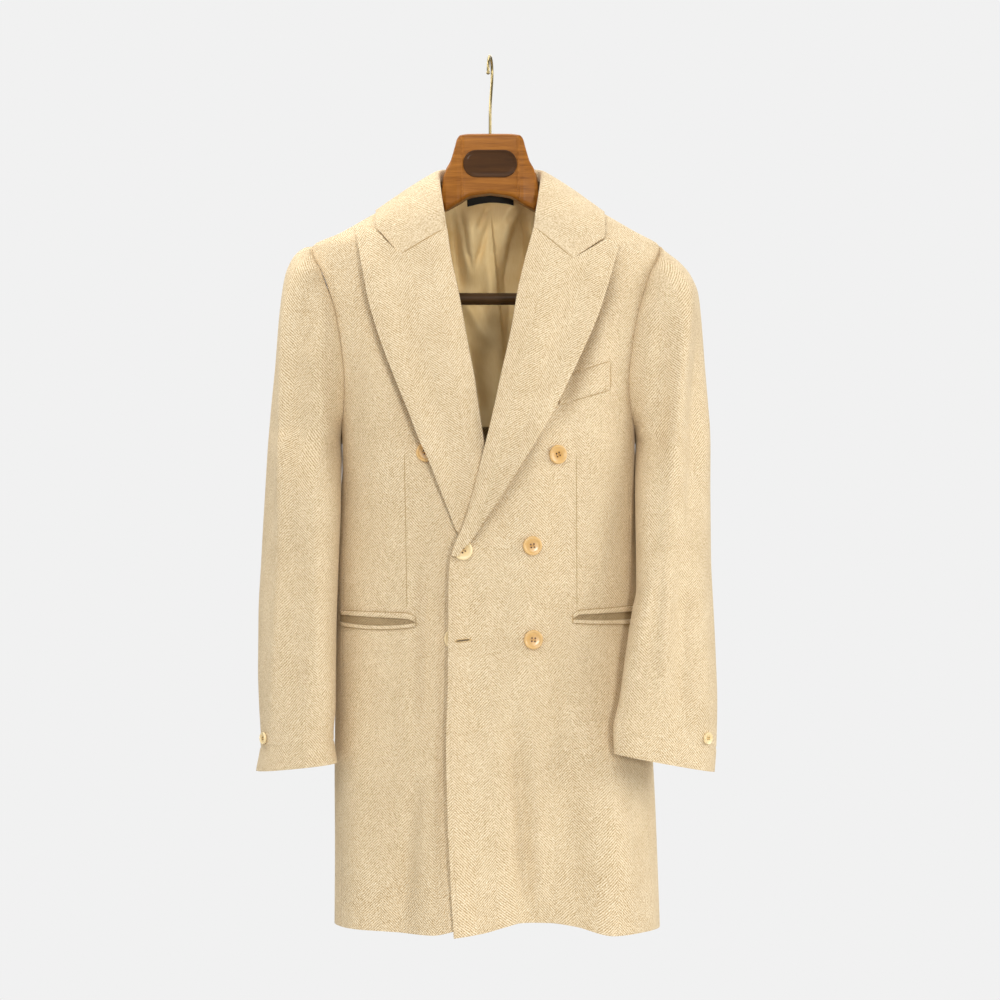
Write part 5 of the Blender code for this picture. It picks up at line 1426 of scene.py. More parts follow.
def turned_horn(name, dish, rim):
    """Polished blond horn: honey in the dish, paler on the rim, with drifting grain under a clear gloss, and
    painted shade in its holes.
    """
    made, tree, shader = finish_named(name, {
        "Roughness": 0.32, "IOR": 1.54, "Coat Weight": 0.20, "Coat Roughness": 0.15,
    })
    grain = add(tree, "ShaderNodeUVMap", uv_map="grain")
    place = add(tree, "ShaderNodeTexCoord").outputs["Object"]
    radius = add(tree, "ShaderNodeVectorMath", {0: grain}, operation="LENGTH").outputs["Value"]
    layers = (per_metre(12, 100), per_metre(12, 100), per_metre(42, 100))
    stretch = add(tree, "ShaderNodeMapping", {"Vector": place, "Scale": layers, "Rotation": (0.3, 0.5, 0.4)})
    drift = add(tree, "ShaderNodeTexNoise", {
        "Vector": stretch, "Scale": 1.0, "Detail": 4.0, "Distortion": 0.8,
    })
    blend = add(tree, "ShaderNodeMath", {0: drift, 1: 0.35, 2: radius}, operation="MULTIPLY_ADD")
    ramp = add(tree, "ShaderNodeValToRGB", {0: blend}, ((0.20, dish), (1.0, rim)))
    # Painted shade in the four drilled holes, a dark brown over the horn.
    corner = add(tree, "ShaderNodeVectorMath", {0: grain}, operation="ABSOLUTE")
    middles = {0: corner, 1: (HOLE_OUT, HOLE_OUT, 0.0)}
    reach = add(tree, "ShaderNodeVectorMath", middles, operation="DISTANCE").outputs["Value"]
    hole = add(tree, "ShaderNodeMath", {0: reach, 1: HOLE_RADIUS * HOLE_SHADE}, operation="LESS_THAN")
    holes_in_painted_shade = add(tree, "ShaderNodeMix", {0: hole, 6: ramp, 7: colour("#5d3d1a")}, data_type="RGBA")
    fill(tree, shader, {"Base Color": holes_in_painted_shade.outputs[2]})
    return made


def varnished_wood(name, dark, light, gloss):
    """Turned and varnished wood: long fibres along the arms, darker pores, a clear lacquer."""
    made, tree, shader = finish_named(name, {
        "Roughness": gloss, "IOR": 1.5, "Specular IOR Level": 0.14,
        "Coat Weight": 0.08, "Coat Roughness": 0.16,
    })
    place = add(tree, "ShaderNodeTexCoord").outputs["Object"]
    lengthwise = (per_metre(6, 1000), per_metre(9, 100), per_metre(9, 100))
    stretch = add(tree, "ShaderNodeMapping", {"Vector": place, "Scale": lengthwise})
    fibre = add(tree, "ShaderNodeTexNoise", {
        "Vector": stretch, "Scale": 1.6, "Detail": 6.0, "Roughness": 0.62, "Distortion": 0.6,
    })
    pores = add(tree, "ShaderNodeTexNoise", {"Vector": stretch, "Scale": 9.0, "Detail": 2.0})
    both = add(tree, "ShaderNodeMath", {0: pores, 1: 0.30, 2: fibre}, operation="MULTIPLY_ADD")
    ramp = add(tree, "ShaderNodeValToRGB", {0: both}, ((0.42, dark), (0.86, light)))
    bump = add(tree, "ShaderNodeBump", {"Strength": 0.08, "Distance": 0.0003, "Height": pores})
    fill(tree, shader, {"Base Color": ramp, "Normal": bump})
    return made


def drawn_brass(name):
    """Drawn and lacquered brass wire: warm grey-gold with faint lengthwise scuffs."""
    made, tree, shader = finish_named(name, {"Metallic": 1.0})
    place = add(tree, "ShaderNodeTexCoord").outputs["Object"]
    upright = (per_metre(9, 10), per_metre(9, 10), per_metre(12, 100))
    stretch = add(tree, "ShaderNodeMapping", {"Vector": place, "Scale": upright})
    scuff = add(tree, "ShaderNodeTexNoise", {"Vector": stretch, "Scale": 1.0, "Detail": 3.0})
    ramp = add(tree, "ShaderNodeValToRGB", {0: scuff}, ((0.30, "#8f7e55"), (0.75, "#b9a97c")))
    rough = add(tree, "ShaderNodeMapRange", {"Value": scuff, "To Min": 0.22, "To Max": 0.38})
    fill(tree, shader, {"Base Color": ramp, "Roughness": rough})
    return made


def floor_paint(name):
    """Matt pale paint with faint clouds, which keeps the studio quiet."""
    made, tree, shader = finish_named(name, {"Roughness": 0.7})
    place = add(tree, "ShaderNodeTexCoord").outputs["Object"]
    clouds = add(tree, "ShaderNodeTexNoise", {"Vector": place, "Scale": per_metre(3, 1000), "Detail": 3.0})
    ramp = add(tree, "ShaderNodeValToRGB", {0: clouds}, ((0.0, "#e6e6e4"), (1.0, "#eeeeec")))
    fill(tree, shader, {"Base Color": ramp})
    return made


# The same wool, as it is on the open cloth, and painted darker for the shade in seam lines and stitches and
# in a pocket's mouth.
WOOL = woven_wool("herringbone_wool_brushed", "#a88c62", "#dbc5a0", "#f4e5c8")
SEAM_SHADE_WOOL = woven_wool("herringbone_wool_pressed_seam", "#a0865e", "#b89d73", "#c8ae84")
THREAD = woven_tape("silk_buttonhole_thread", "#c9a972", "#d4b682", per_metre(3, 1))
SATIN = lining_satin("gold_lining_satin")
# Dark twill painted with the shade in the buttonhole's slit.
SLIT_SHADE_TWILL = woven_tape("brown_pocketing_twill", "#4b3a22", "#5a462a", per_metre(8, 5))
# Wool painted dark for the shade in a pocket's mouth.
MOUTH_SHADE_WOOL = woven_wool("herringbone_wool_in_the_pocket", "#7c694c", "#a8926d", "#bfa884")
LABEL_TAPE = woven_tape("black_label_tape", "#14140c", "#1b1b13", per_metre(9, 5))
HORN = turned_horn("polished_blond_horn", "#bd8b40", "#dab171")
PALE_HORN = turned_horn("polished_pale_horn", "#ddb878", "#efd9a8")
YOKE_WOOD = varnished_wood("varnished_beech", "#72400f", "#ac6e29", 0.36)
DARK_WOOD = varnished_wood("stained_beech", "#3d2810", "#543a1a", 0.50)
PLAQUE_WOOD = varnished_wood("stained_walnut", "#37200b", "#4e3013", 0.62)
BRASS = drawn_brass("lacquered_brass")


def ring_mesh(name, rings):
    """A tube over rings of points, with its ends closed."""
    bm = bmesh.new()
    verts = [[bm.verts.new(point) for point in ring] for ring in rings]
    for first, second in zip(verts[:-1], verts[1:]):
        for i in range(len(first)):
            k = (i + 1) % len(first)
            bm.faces.new((first[i], first[k], second[k], second[i]))
    bm.faces.new(verts[0][::-1])
    bm.faces.new(verts[-1])
    bmesh.ops.recalc_face_normals(bm, faces=bm.faces)
    mesh = bpy.data.meshes.new(name)
    bm.to_mesh(mesh)
    bm.free()
    return mesh


def circle(count):
    """Angles all round a circle."""
    return np.linspace(0.0, 2.0 * math.pi, count, endpoint=False)


# The yoke lies under the shoulder seams by the solids' cloth and its lay, measured upright on the slope.
# Two upright ridges stand beside its middle.
SOLID_CLOTH = 0.0020
UPRIGHT = 1.25
YOKE_DROP = (SOLID_CLOTH + LAY) * UPRIGHT
RIDGE_X = 0.0355
RIDGE_WIDTH = 0.0014
RIDGE_OUT = 0.0011
RIDGE_PLACES = np.linspace(0.031, 0.040, 19)
YOKE_SPAN_STEPS = 9
CORNER_STEPS = 9
CORNER_SHARE = 0.48

# The corners of a section by their sides in y and z and the angle at which their arc starts.
YOKE_CORNERS = ((-1, 1, 90), (-1, -1, 180), (1, -1, 270), (1, 1, 0))


def yoke_wood(name, node):
    """The shaped yoke of the hanger, whose arms follow the shoulders between its middle and its tips."""
    low_at, deep_at, corner_at = (track(YOKE, key, "x") for key in ("low", "half_depth", "corner"))
    slope = [row.x for row in YOKE if row.top is None]
    middle_rows = [row for row in YOKE if row.x < slope[0]]
    tip_rows = [row for row in YOKE if row.x > slope[-1]]
    middle_at, tip_at = track(middle_rows, "top", "x"), track(tip_rows, "top", "x")
    middle_end, tip_start = middle_rows[-1].x, tip_rows[0].x

    def top_at(x):
        reach = abs(x)
        if reach <= middle_end:
            return float(middle_at(reach))
        held = math.copysign(min(max(reach, slope[0]), slope[-1]), x)
        shoulder = shoulder_height(held) - YOKE_DROP
        if reach < slope[0]:
            share = (reach - middle_end) / (slope[0] - middle_end)
            return float(middle_at(middle_end)) * (1.0 - share) + shoulder * share
        share = min(max(reach - slope[-1], 0.0) / (tip_start - slope[-1]), 1.0)
        return shoulder * (1.0 - share) + float(tip_at(max(reach, tip_start))) * share

    spans = [np.linspace(a.x, b.x, YOKE_SPAN_STEPS) for a, b in zip(YOKE[:-1], YOKE[1:])]
    half = np.unique(np.round(np.concatenate(spans + [RIDGE_PLACES]), 5))
    rings = []
    for x in np.concatenate([-half[:0:-1], half]):
        top, low = top_at(x), float(low_at(abs(x)))
        deep = float(deep_at(abs(x)) + RIDGE_OUT * bell(abs(x) - RIDGE_X, RIDGE_WIDTH))
        corner = min(float(corner_at(abs(x))), (top - low) * CORNER_SHARE)
        ring = []
        for y_side, z_side, start in YOKE_CORNERS:
            for turn in np.linspace(0.0, 90.0, CORNER_STEPS):
                angle = math.radians(start + turn)
                y = y_side * (deep - corner) + corner * math.cos(angle)
                z = (top - corner if z_side > 0 else low + corner) + corner * math.sin(angle)
                ring.append((x, y, z))
        rings.append(ring)
    return piece(name, ring_mesh(name, rings), YOKE_WOOD, "varnished_wood", node)


# The plaque from its foot over its raised rim to its face: how far in, and how far off the yoke.
PLAQUE_RIM = (
    (0.0, 0.0), (0.0, 0.0009), (0.0004, 0.0012), (0.0016, 0.0012), (0.0022, 0.0008), (0.006, 0.0007),
)
PLAQUE_ENDS = ((1, -90), (-1, 90))
PLAQUE_STEPS = 25


def plaque_wood(name, node):
    """A bare stadium-shaped plaque with a raised rim."""
    radius = (PLAQUE_TOP_Z - PLAQUE_LOW_Z) / 2.0
    middle = (PLAQUE_TOP_Z + PLAQUE_LOW_Z) / 2.0
    reach = PLAQUE_HALF - radius
    rings = []
    for inset, out in PLAQUE_RIM:
        y = -YOKE[0].half_depth - SEAM - out
        ring = []
        for side, start in PLAQUE_ENDS:
            for turn in np.linspace(0.0, 180.0, PLAQUE_STEPS):
                angle = math.radians(start + turn)
                x = side * reach + (radius - inset) * math.cos(angle)
                ring.append((x, y, middle + (radius - inset) * math.sin(angle)))
        rings.append(ring)
    return piece(name, ring_mesh(name, rings), PLAQUE_WOOD, "dark_wood", node)


# The bar's ends are eased over this length, down to this share of its radius.
BAR_EASE = 0.006
BAR_END = 0.86
BAR_PLAIN = 0.03
BAR_STEPS = 48


def bar_wood(name, node):
    """The round trouser bar, eased where it enters the arms."""
    half = BAR_HALF - SEAM
    length = 2.0 * half
    eased = np.linspace(0.0, BAR_EASE, 6)
    places = np.concatenate([eased, np.linspace(BAR_PLAIN, length - BAR_PLAIN, 30), length - eased[::-1]])
    rings = []
    for at in places:
        near = min(min(at, length - at) / BAR_EASE, 1.0)
        radius = BAR_RADIUS * (BAR_END + (1.0 - BAR_END) * math.sin(near * math.pi / 2.0))
        ring = [(at - half, radius * math.cos(a), BAR_Z + radius * math.sin(a)) for a in circle(BAR_STEPS)]
        rings.append(ring)
    return piece(name, ring_mesh(name, rings), DARK_WOOD, "dark_wood", node)


# The hook's stem and sweep in its own upright plane, up to the start of the bend, then the bend's angles.
HOOK_LINE = (
    (0.0, YOKE[0].top + SEAM), (0.0, -0.0830), (0.0004, -0.0700),
    (0.0040, -0.0560), (0.0105, -0.0430), (0.0168, -0.0310),
)
BEND_ANGLES = np.radians(-8.0 + 19.6 * np.arange(11))
HOOK_STEPS = 160
WIRE_STEPS = 20
HOOK_BALL = 1.35
BALL_DROP = 0.0008


def hook_brass(name, node):
    """The wire hook with its stem, sweep and bend, ended in a small ball."""
    cos_turn, sin_turn = math.cos(HOOK_TURN), math.sin(HOOK_TURN)
    middle = HOOK_WIRE - HOOK_BEND
    line = list(HOOK_LINE)
    line += [(HOOK_BEND * math.cos(angle), middle + HOOK_BEND * math.sin(angle)) for angle in BEND_ANGLES]
    fine = through(line)(np.linspace(0.0, len(line) - 1.0, HOOK_STEPS))
    tangent = unit(np.gradient(fine, axis=0))
    rings = []
    for (u, z), (tu, tz) in zip(fine, tangent):
        ring = []
        for angle in circle(WIRE_STEPS):
            a, b = HOOK_WIRE * math.cos(angle), HOOK_WIRE * math.sin(angle)
            along, high = u - tz * a, z + tu * a
            ring.append((along * cos_turn - b * sin_turn, along * sin_turn + b * cos_turn, high))
        rings.append(ring)
    mesh = ring_mesh(name, rings)
    bm = bmesh.new()
    bm.from_mesh(mesh)
    u, z = fine[-1]
    tip = Matrix.Translation((u * cos_turn, u * sin_turn, z - BALL_DROP))
    bmesh.ops.create_uvsphere(bm, u_segments=24, v_segments=16, radius=HOOK_WIRE * HOOK_BALL, matrix=tip)
    bm.to_mesh(mesh)
    bm.free()
    return piece(name, mesh, BRASS, "brass", node)


# A button's turned profile, from the edge of its foot over the rim into the dish: shares of its
# radius and its thickness.
BUTTON_PROFILE = (
    (0.80, 0.0), (0.93, 0.10), (0.99, 0.32), (1.0, 0.52), (0.985, 0.74), (0.945, 0.93), (0.89, 1.0),
    (0.83, 0.98), (0.77, 0.88), (0.71, 0.76), (0.60, 0.69), (0.40, 0.65), (0.14, 0.63),
)
BUTTON_STEPS = 48
BUTTON_SHARP = math.radians(40.0)

# The middle and depth of its holes as shares of its thickness.
HOLE_MIDDLE = 0.55
HOLE_DEPTH = 0.66

# Its thread: two bars over each pair of holes, in shares of its radius, and their height in its dish.
THREAD_APART = 0.0315
THREAD_WIDE = 0.045
THREAD_HIGH = 0.055
THREAD_REACH = 1.25
THREAD_LEVEL = 0.70


def button_mesh(radius):
    """A four-hole button turned about its axis, with a raised rim, a dished face and its thread shank."""
    low, thick = SHANK_HEIGHT, BUTTON_THICK
    profile = [(SHANK_RADIUS, 0.0), (SHANK_RADIUS, low)]
    profile += [(wide * radius, low + high * thick) for wide, high in BUTTON_PROFILE]
    rings = [[(r * math.cos(a), r * math.sin(a), h) for a in circle(BUTTON_STEPS)] for r, h in profile]
    blank = in_scene("button_blank", ring_mesh("button_blank", rings))
    hole = radius * HOLE_OUT
    cutter = bmesh.new()
    for x, y in ((hole, hole), (-hole, hole), (-hole, -hole), (hole, -hole)):
        bmesh.ops.create_cone(
            cutter, cap_ends=True, segments=16, radius1=radius * HOLE_RADIUS, radius2=radius * HOLE_RADIUS,
            depth=HOLE_DEPTH * thick, matrix=Matrix.Translation((x, y, low + HOLE_MIDDLE * thick)),
        )
    drill = in_scene("button_drill", bpy.data.meshes.new("button_drill"))
    cutter.to_mesh(drill.data)
    cutter.free()
    cut = blank.modifiers.new("Boolean", "BOOLEAN")
    cut.object = drill
    cut.operation = "DIFFERENCE"
    mesh = plain_mesh(blank)
    bpy.data.objects.remove(drill)
    bm = bmesh.new()
    bm.from_mesh(mesh)
    size = Matrix.Diagonal((radius * THREAD_WIDE, hole * THREAD_REACH, radius * THREAD_HIGH, 1.0))
    for x in (hole, -hole):
        for shift in (-THREAD_APART, THREAD_APART):
            spot = Matrix.Translation((x + shift * radius, 0.0, low + THREAD_LEVEL * thick))
            bmesh.ops.create_icosphere(bm, subdivisions=2, radius=1.0, matrix=spot @ size)
    grain = bm.loops.layers.uv.new("grain")
    for face in bm.faces:
        for loop in face.loops:
            loop[grain].uv = (loop.vert.co.x / radius, loop.vert.co.y / radius)
    bm.to_mesh(mesh)
    bm.free()
    return mesh


def set_button(name, shape, place, normal, turn, surface, node):
    """A button set on the cloth at that place, turned on its thread."""
    axis = unit(np.array(normal))
    side = unit(np.cross(UPWARD, axis))
    up = np.cross(axis, side)
    side, up = side * math.cos(turn) + up * math.sin(turn), up * math.cos(turn) - side * math.sin(turn)
    mesh = shape.copy()
    rows = [[side[i], up[i], axis[i], place[i]] for i in range(3)]
    mesh.transform(Matrix(rows + [[0.0, 0.0, 0.0, 1.0]]))
    made = piece(name, mesh, surface, "button_horn", node)
    made.data.set_sharp_from_angle(angle=BUTTON_SHARP)
    return made


def stitch_rows():
    """A node tree that lays one stitch after the other along a line, with named sizes."""
    tree = bpy.data.node_groups.new("stitch_rows", "GeometryNodeTree")
    tree.interface.new_socket("Geometry", in_out="INPUT", socket_type="NodeSocketGeometry")
    for size in ("Spacing", "Length", "Thickness"):
        tree.interface.new_socket(size, in_out="INPUT", socket_type="NodeSocketFloat")
    tree.interface.new_socket("Thread", in_out="INPUT", socket_type="NodeSocketMaterial")
    tree.interface.new_socket("Geometry", in_out="OUTPUT", socket_type="NodeSocketGeometry")
    given = add(tree, "NodeGroupInput").outputs
    line = add(tree, "GeometryNodeMeshToCurve", {"Mesh": given["Geometry"]})
    gaps = {"Curve": line, "Length": given["Spacing"]}
    spots = add(tree, "GeometryNodeResampleCurve", gaps, mode="LENGTH")
    along = add(tree, "GeometryNodeInputTangent")
    turn = add(tree, "FunctionNodeAlignRotationToVector", {"Vector": along}, axis="X")
    sizes = {"X": given["Length"], "Y": given["Thickness"], "Z": given["Thickness"]}
    scale = add(tree, "ShaderNodeCombineXYZ", sizes)
    stitch = add(tree, "GeometryNodeMeshUVSphere", {"Segments": 6, "Rings": 4, "Radius": 0.5})
    laid = add(tree, "GeometryNodeInstanceOnPoints", {
        "Points": spots, "Instance": stitch, "Rotation": turn, "Scale": scale,
    })
    real = add(tree, "GeometryNodeRealizeInstances", {"Geometry": laid})
    dyed = add(tree, "GeometryNodeSetMaterial", {"Geometry": real, "Material": given["Thread"]})
    add(tree, "NodeGroupOutput", {"Geometry": dyed})
    return tree


STITCH_TREE = stitch_rows()


def stitches(name, lines, thread, spacing, length, thickness):
    """Stitches along lines of points that lie on the cloth."""
    points, edges = [], []
    for line in lines:
        edges += [(len(points) + i, len(points) + i + 1) for i in range(len(line) - 1)]
        points += [tuple(point) for point in line]
    mesh = bpy.data.meshes.new(name)
    mesh.from_pydata(points, edges, [])
    draft = in_scene(name + "_draft", mesh)
    layer = draft.modifiers.new("stitch_rows", "NODES")
    layer.node_group = STITCH_TREE
    given = {"Spacing": spacing, "Length": length, "Thickness": thickness, "Thread": thread}
    for socket in STITCH_TREE.interface.items_tree:
        if socket.in_out == "INPUT" and socket.name in given:
            layer[socket.identifier] = given[socket.name]
    made = plain_mesh(draft)
    made.uv_layers.new(name="grain")
    return piece(name, made, thread, "herringbone_wool")


# The coat's panels.
left_front = front_cloth("left_front_cloth", True, "left_front")
right_front = front_cloth("right_front_cloth", False, "right_front")
back = back_cloth("back_cloth", "back")
left_side = side_cloth("left_side_cloth", 1.0, "left_side")
right_side = side_cloth("right_side_cloth", -1.0, "right_side")

left_form = SleeveForm(LEFT_SLEEVE, 1.0, LEFT_CUFF_SLANT, LEFT_SLEEVE_CREASES)
right_form = SleeveForm(RIGHT_SLEEVE, -1.0, RIGHT_CUFF_SLANT, RIGHT_SLEEVE_CREASES)
left_sleeve = sleeve_cloth("left_sleeve_cloth", left_form, "left_sleeve")
right_sleeve = sleeve_cloth("right_sleeve_cloth", right_form, "right_sleeve")

left_grid, left_grain = lapel_grid(True, LEFT_LAPEL_EDGE, LEFT_LAPEL_TOP, LEFT_BREAK_Z)
right_grid, right_grain = lapel_grid(False, RIGHT_LAPEL_EDGE, RIGHT_LAPEL_TOP, RIGHT_BREAK_Z)
left_lapel = lapel_cloth("left_lapel_cloth", left_grid, left_grain, "left_lapel")
right_lapel = lapel_cloth("right_lapel_cloth", right_grid, right_grain, "right_lapel")
collar = collar_cloth("collar_cloth", collar_grid(right_grid, left_grid), "collar")

welt_row, right_upper, right_lower, left_upper, left_lower = STRIPS
welt = strip_cloth(welt_row, WELT_RISE, False)
jets = [strip_cloth(row, JET_RISE, True) for row in (right_upper, right_lower, left_upper, left_lower)]
# The mouths are sheets of painted shade between the jets.
right_mouth = pocket_mouth("right_pocket_mouth", right_upper, right_lower)
left_mouth = pocket_mouth("left_pocket_mouth", left_upper, left_lower)

lining = lining_cloth("lining_satin", "back_lining")
label = label_cloth("label_tape_strip", "neck_label")

# Pressed lines: how far they lie off the cloth, how wide they are and how high they swell.
LINE_LAY = 0.0003
LINE_SWELL = 0.0002
LINE_STEPS = 60
TACK_STEPS = 24
DART_LAY = 0.0001
DART_WIDTH = 0.0011
STRIP_SEAM_WIDTH = 0.0020
GORGE_WIDTH = 0.0016
GORGE_LAY = 0.0007
SLIT_WIDTH = 0.0014
SLIT_SWELL = 0.0001

# Darts under the chest, drawn as lines of painted seam shade.
DART_Z = (-0.5020, -0.6984)
DARTS = table(
    "name top_x low_x over",
    ("right_dart", -0.1056, -0.1026, False), ("left_dart", 0.1070, 0.1079, True),
)
dart_z = np.linspace(*DART_Z, LINE_STEPS)
for row in DARTS:
    points = on_front(np.linspace(row.top_x, row.low_x, LINE_STEPS), dart_z, DART_LAY, row.over)
    seam_line(row.name, points, ACROSS, DART_WIDTH, LINE_SWELL, SEAM_SHADE_WOOL)

# Seams along the outer edges of the jets, and along both edges of the welt, drawn as lines of painted shade
# for the gaps beside them.
STRIP_SEAMS = (
    (right_upper, "top"), (right_lower, "low"), (left_upper, "top"), (left_lower, "low"),
    (welt_row, "top"), (welt_row, "low"),
)
for row, edge in STRIP_SEAMS:
    x, top, low = strip_edges(row, np.linspace(0.0, 1.0, LINE_STEPS))
    points = on_front(x, top if edge == "top" else low, LINE_LAY, row.over)
    seam_line(row.name + "_seam_" + edge, points, UPWARD, STRIP_SEAM_WIDTH, LINE_SWELL, SEAM_SHADE_WOOL)

# Gorge seams between collar and lapels, drawn as lines of painted seam shade.
gorge = len(LAPEL_ROLL) + np.flatnonzero(LAPEL_ACROSS <= NOTCH_ACROSS)
for name, grid in (("right_gorge", right_grid), ("left_gorge", left_grid)):
    points = grid[0, gorge] + GORGE_LAY * VIEWER
    seam_line(name, points, UPWARD, GORGE_WIDTH, LINE_SWELL, SEAM_SHADE_WOOL)

# Tacks across the inner ends of the pockets and the outer end of the welt, drawn as lines of painted seam
# shade.
TACKS = (
    ("right_tack", right_upper, right_lower, 0.0), ("left_tack", left_upper, left_lower, 0.0),
    ("welt_tack", welt_row, welt_row, 1.0),
)
for name, upper, lower, end in TACKS:
    x, top, _ = strip_edges(upper, end)
    _, _, low = strip_edges(lower, end)
    points = on_front(x, np.linspace(top, low, TACK_STEPS), LINE_LAY, upper.over)
    seam_line(name, points, ACROSS, STRIP_SEAM_WIDTH, LINE_SWELL, SEAM_SHADE_WOOL)

# The slit of the free buttonhole, which slopes a little, drawn in dark twill as painted shade.
SLIT_X = (-0.0418, -0.0245)
SLIT_Z = (-0.7340, -0.7322)
slit = on_front(np.linspace(*SLIT_X, TACK_STEPS), np.linspace(*SLIT_Z, TACK_STEPS), LINE_LAY, True)
seam_line("buttonhole_slit", slit, UPWARD, SLIT_WIDTH, SLIT_SWELL, SLIT_SHADE_TWILL)

# Stitches along the front edge and the lapels, in the wool painted darker for seam shade.
EDGE_INSET = 0.0042
EDGE_STITCH_Z = (-0.660, -1.088)
EDGE_STEPS = 130
PICK_ACROSS = 0.955
PICK_LAY = 0.00005
LEFT_PICK_ROWS = slice(2, -8)
RIGHT_PICK_ROWS = slice(2, -14)
edge_z = np.linspace(*EDGE_STITCH_Z, EDGE_STEPS)
edge_x = over_edge(edge_z) + EDGE_INSET
edge_line = on_front(edge_x, edge_z, DART_LAY, True)
edge_line[:, 2] += hem_rise(edge_x, edge_z, True)
lapel_column = len(LAPEL_ROLL) + int(np.argmin(np.abs(LAPEL_ACROSS - PICK_ACROSS)))
pick_lines = [edge_line, left_grid[LEFT_PICK_ROWS, lapel_column], right_grid[RIGHT_PICK_ROWS, lapel_column]]
pick_lines = [line + PICK_LAY * VIEWER for line in pick_lines]
stitches("pick_stitches", pick_lines, SEAM_SHADE_WOOL, spacing=0.0044, length=0.0017, thickness=0.00042)

# Stitches round the buttonhole, a long loop that slopes with the slit.
LOOP_X = -0.03315
LOOP_Z = -0.7331
LOOP_HALF_LENGTH = 0.0100
LOOP_HALF_HEIGHT = 0.0017
LOOP_SLOPE = 0.00095
LOOP_STEPS = 80
loop_turn = np.linspace(0.0, 2.0 * math.pi, LOOP_STEPS)
loop_x = LOOP_X + LOOP_HALF_LENGTH * np.cos(loop_turn)
loop_z = LOOP_Z + LOOP_HALF_HEIGHT * np.sin(loop_turn) + LOOP_SLOPE * np.cos(loop_turn)
hole_loop = on_front(loop_x, loop_z, LINE_LAY, True)
stitches("buttonhole_stitches", [hole_loop], THREAD, spacing=0.0009, length=0.0015, thickness=0.0009)

# Stitches at the ends of the welt, in the wool painted darker for seam shade.
WELT_INSET = 0.002
WELT_STITCH_LAY = 0.0029
WELT_STITCH_SHARES = (0.03, 0.90)
WELT_STEPS = 20
welt_lines = []
for share in WELT_STITCH_SHARES:
    x, top, low = strip_edges(welt_row, share)
    z = np.linspace(top - WELT_INSET, low + WELT_INSET, WELT_STEPS)
    welt_lines.append(on_front(x, z, WELT_STITCH_LAY, True))
stitches("welt_stitches", welt_lines, SEAM_SHADE_WOOL, spacing=0.0030, length=0.0018, thickness=0.0004)

# Buttons, each with its turn in degrees and its horn.
# The paler horn on the fastened button is partly its own tone and partly painted highlight.
BUTTON_LOOKS = ((24.0, HORN), (9.0, HORN), (-4.0, HORN), (15.0, HORN), (32.0, PALE_HORN), (0.0, PALE_HORN))
button = button_mesh(BUTTON_RADIUS)
for row, (turn, horn) in zip(BUTTONS, BUTTON_LOOKS):
    place = on_front(row.x, row.z, BUTTON_LAY, row.over)
    normal = facing(row.x, row.z, row.over)
    set_button(row.name + "_horn", button, place, normal, math.radians(turn), horn, row.name)
CUFF_BUTTONS = (
    ("button_left_cuff", left_form, LEFT_CUFF_BUTTON_X),
    ("button_right_cuff", right_form, RIGHT_CUFF_BUTTON_X),
)
cuff_button = button_mesh(CUFF_BUTTON_RADIUS)
for name, form, x in CUFF_BUTTONS:
    place, normal = form.place(x, CUFF_BUTTON_Z)
    set_button(name + "_horn", cuff_button, place, normal, 0.0, PALE_HORN, name)

# The hanger.
yoke_wood("yoke_wood", "hanger_yoke")
plaque_wood("plaque_wood", "hanger_plaque")
bar_wood("bar_wood", "hanger_bar")
hook_brass("hook_brass", "hanger_hook")

# A pale studio: a wide floor far below the hem, a large soft key in front and above, a small front
# light, and fills from the sides, above and behind.
FLOOR_Z = -1.42
FLOOR_RADIUS = 1.25
floor_mesh = bpy.data.meshes.new("studio_floor")
floor_draft = bmesh.new()
floor_place = Matrix.Translation((0.0, 0.0, FLOOR_Z))
bmesh.ops.create_circle(floor_draft, cap_ends=True, segments=64, radius=FLOOR_RADIUS, matrix=floor_place)
floor_draft.to_mesh(floor_mesh)
floor_draft.free()
floor_mesh.materials.append(floor_paint("pale_studio_floor"))
floor = in_scene("studio_floor", floor_mesh)

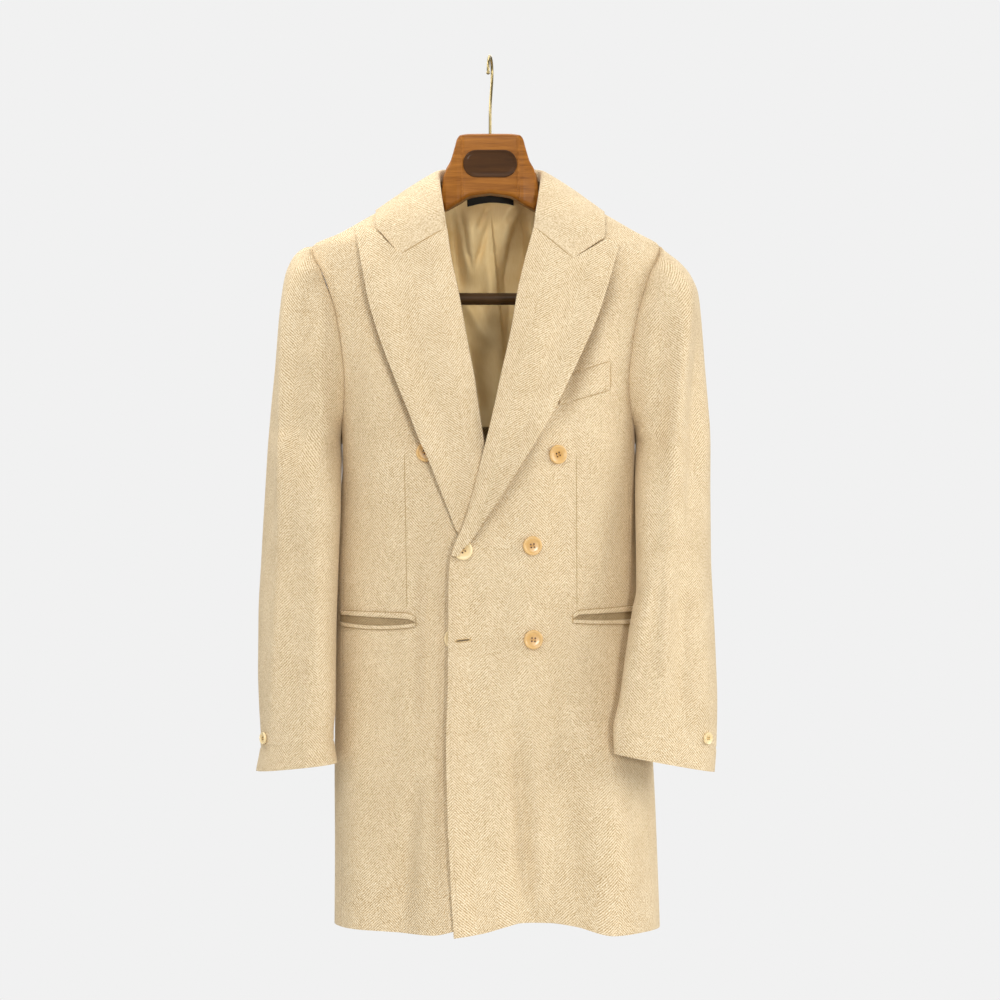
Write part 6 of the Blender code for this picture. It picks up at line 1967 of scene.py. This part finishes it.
LIGHTS = table(
    "name place target size power",
    ("key", (-0.45, -2.6, 1.30), (0.0, 0.0, -0.55), 1.8, 41.0),
    ("front", (0.76, -3.1, -0.50), (0.0, 0.0, -0.30), 0.35, 31.0),
    ("top", (-0.15, 0.35, 1.10), (-0.05, 0.0, -0.25), 1.1, 14.0),
    ("shoulder", (-1.00, 0.15, 0.50), (-0.22, 0.0, -0.26), 0.6, 9.0),
    ("left_fill", (-2.3, -1.9, -0.3), (0.0, 0.0, -0.6), 1.8, 15.0),
    ("right_fill", (2.7, -0.55, 0.1), (0.1, 0.0, -0.6), 1.6, 48.0),
    ("rear", (0.2, 2.8, 1.0), (0.0, 0.0, -0.5), 2.2, 34.0),
)
for row in LIGHTS:
    lamp = bpy.data.lights.new(row.name, "AREA")
    lamp.size = row.size
    lamp.energy = row.power
    made = in_scene(row.name, lamp)
    aim = Vector(row.target) - Vector(row.place)
    made.location = row.place
    made.rotation_euler = aim.to_track_quat("-Z", "Y").to_euler()

# The backdrop is a plain pale grey, and lights the coat more softly than it looks.
world = bpy.data.worlds.new("pale_studio")
world.use_nodes = True
sky = world.node_tree
sky.nodes.clear()
seen_by_camera = add(sky, "ShaderNodeLightPath").outputs["Is Camera Ray"]
seen = add(sky, "ShaderNodeBackground", {"Color": colour("#f1f1f1"), "Strength": 1.0})
glow = add(sky, "ShaderNodeBackground", {"Color": colour("#f4f2ee"), "Strength": 0.33})
either = add(sky, "ShaderNodeMixShader", {0: seen_by_camera, 1: glow, 2: seen})
add(sky, "ShaderNodeOutputWorld", {"Surface": either})
bpy.context.scene.world = world
bpy.context.scene.view_settings.view_transform = "Standard"

# A long lens straight in front of the coat. Sensor and lens are in millimetres.
CAMERA_PLACE = (0.0125, -4.05, -0.560)
CAMERA_SENSOR = 36.0
CAMERA_LENS = 115.2
camera = in_scene("camera", bpy.data.cameras.new("camera"))
camera.data.sensor_width = CAMERA_SENSOR
camera.data.lens = CAMERA_LENS
camera.location = CAMERA_PLACE
camera.rotation_euler = (math.pi / 2.0, 0.0, 0.0)
bpy.context.scene.camera = camera

bpy.context.view_layer.update()
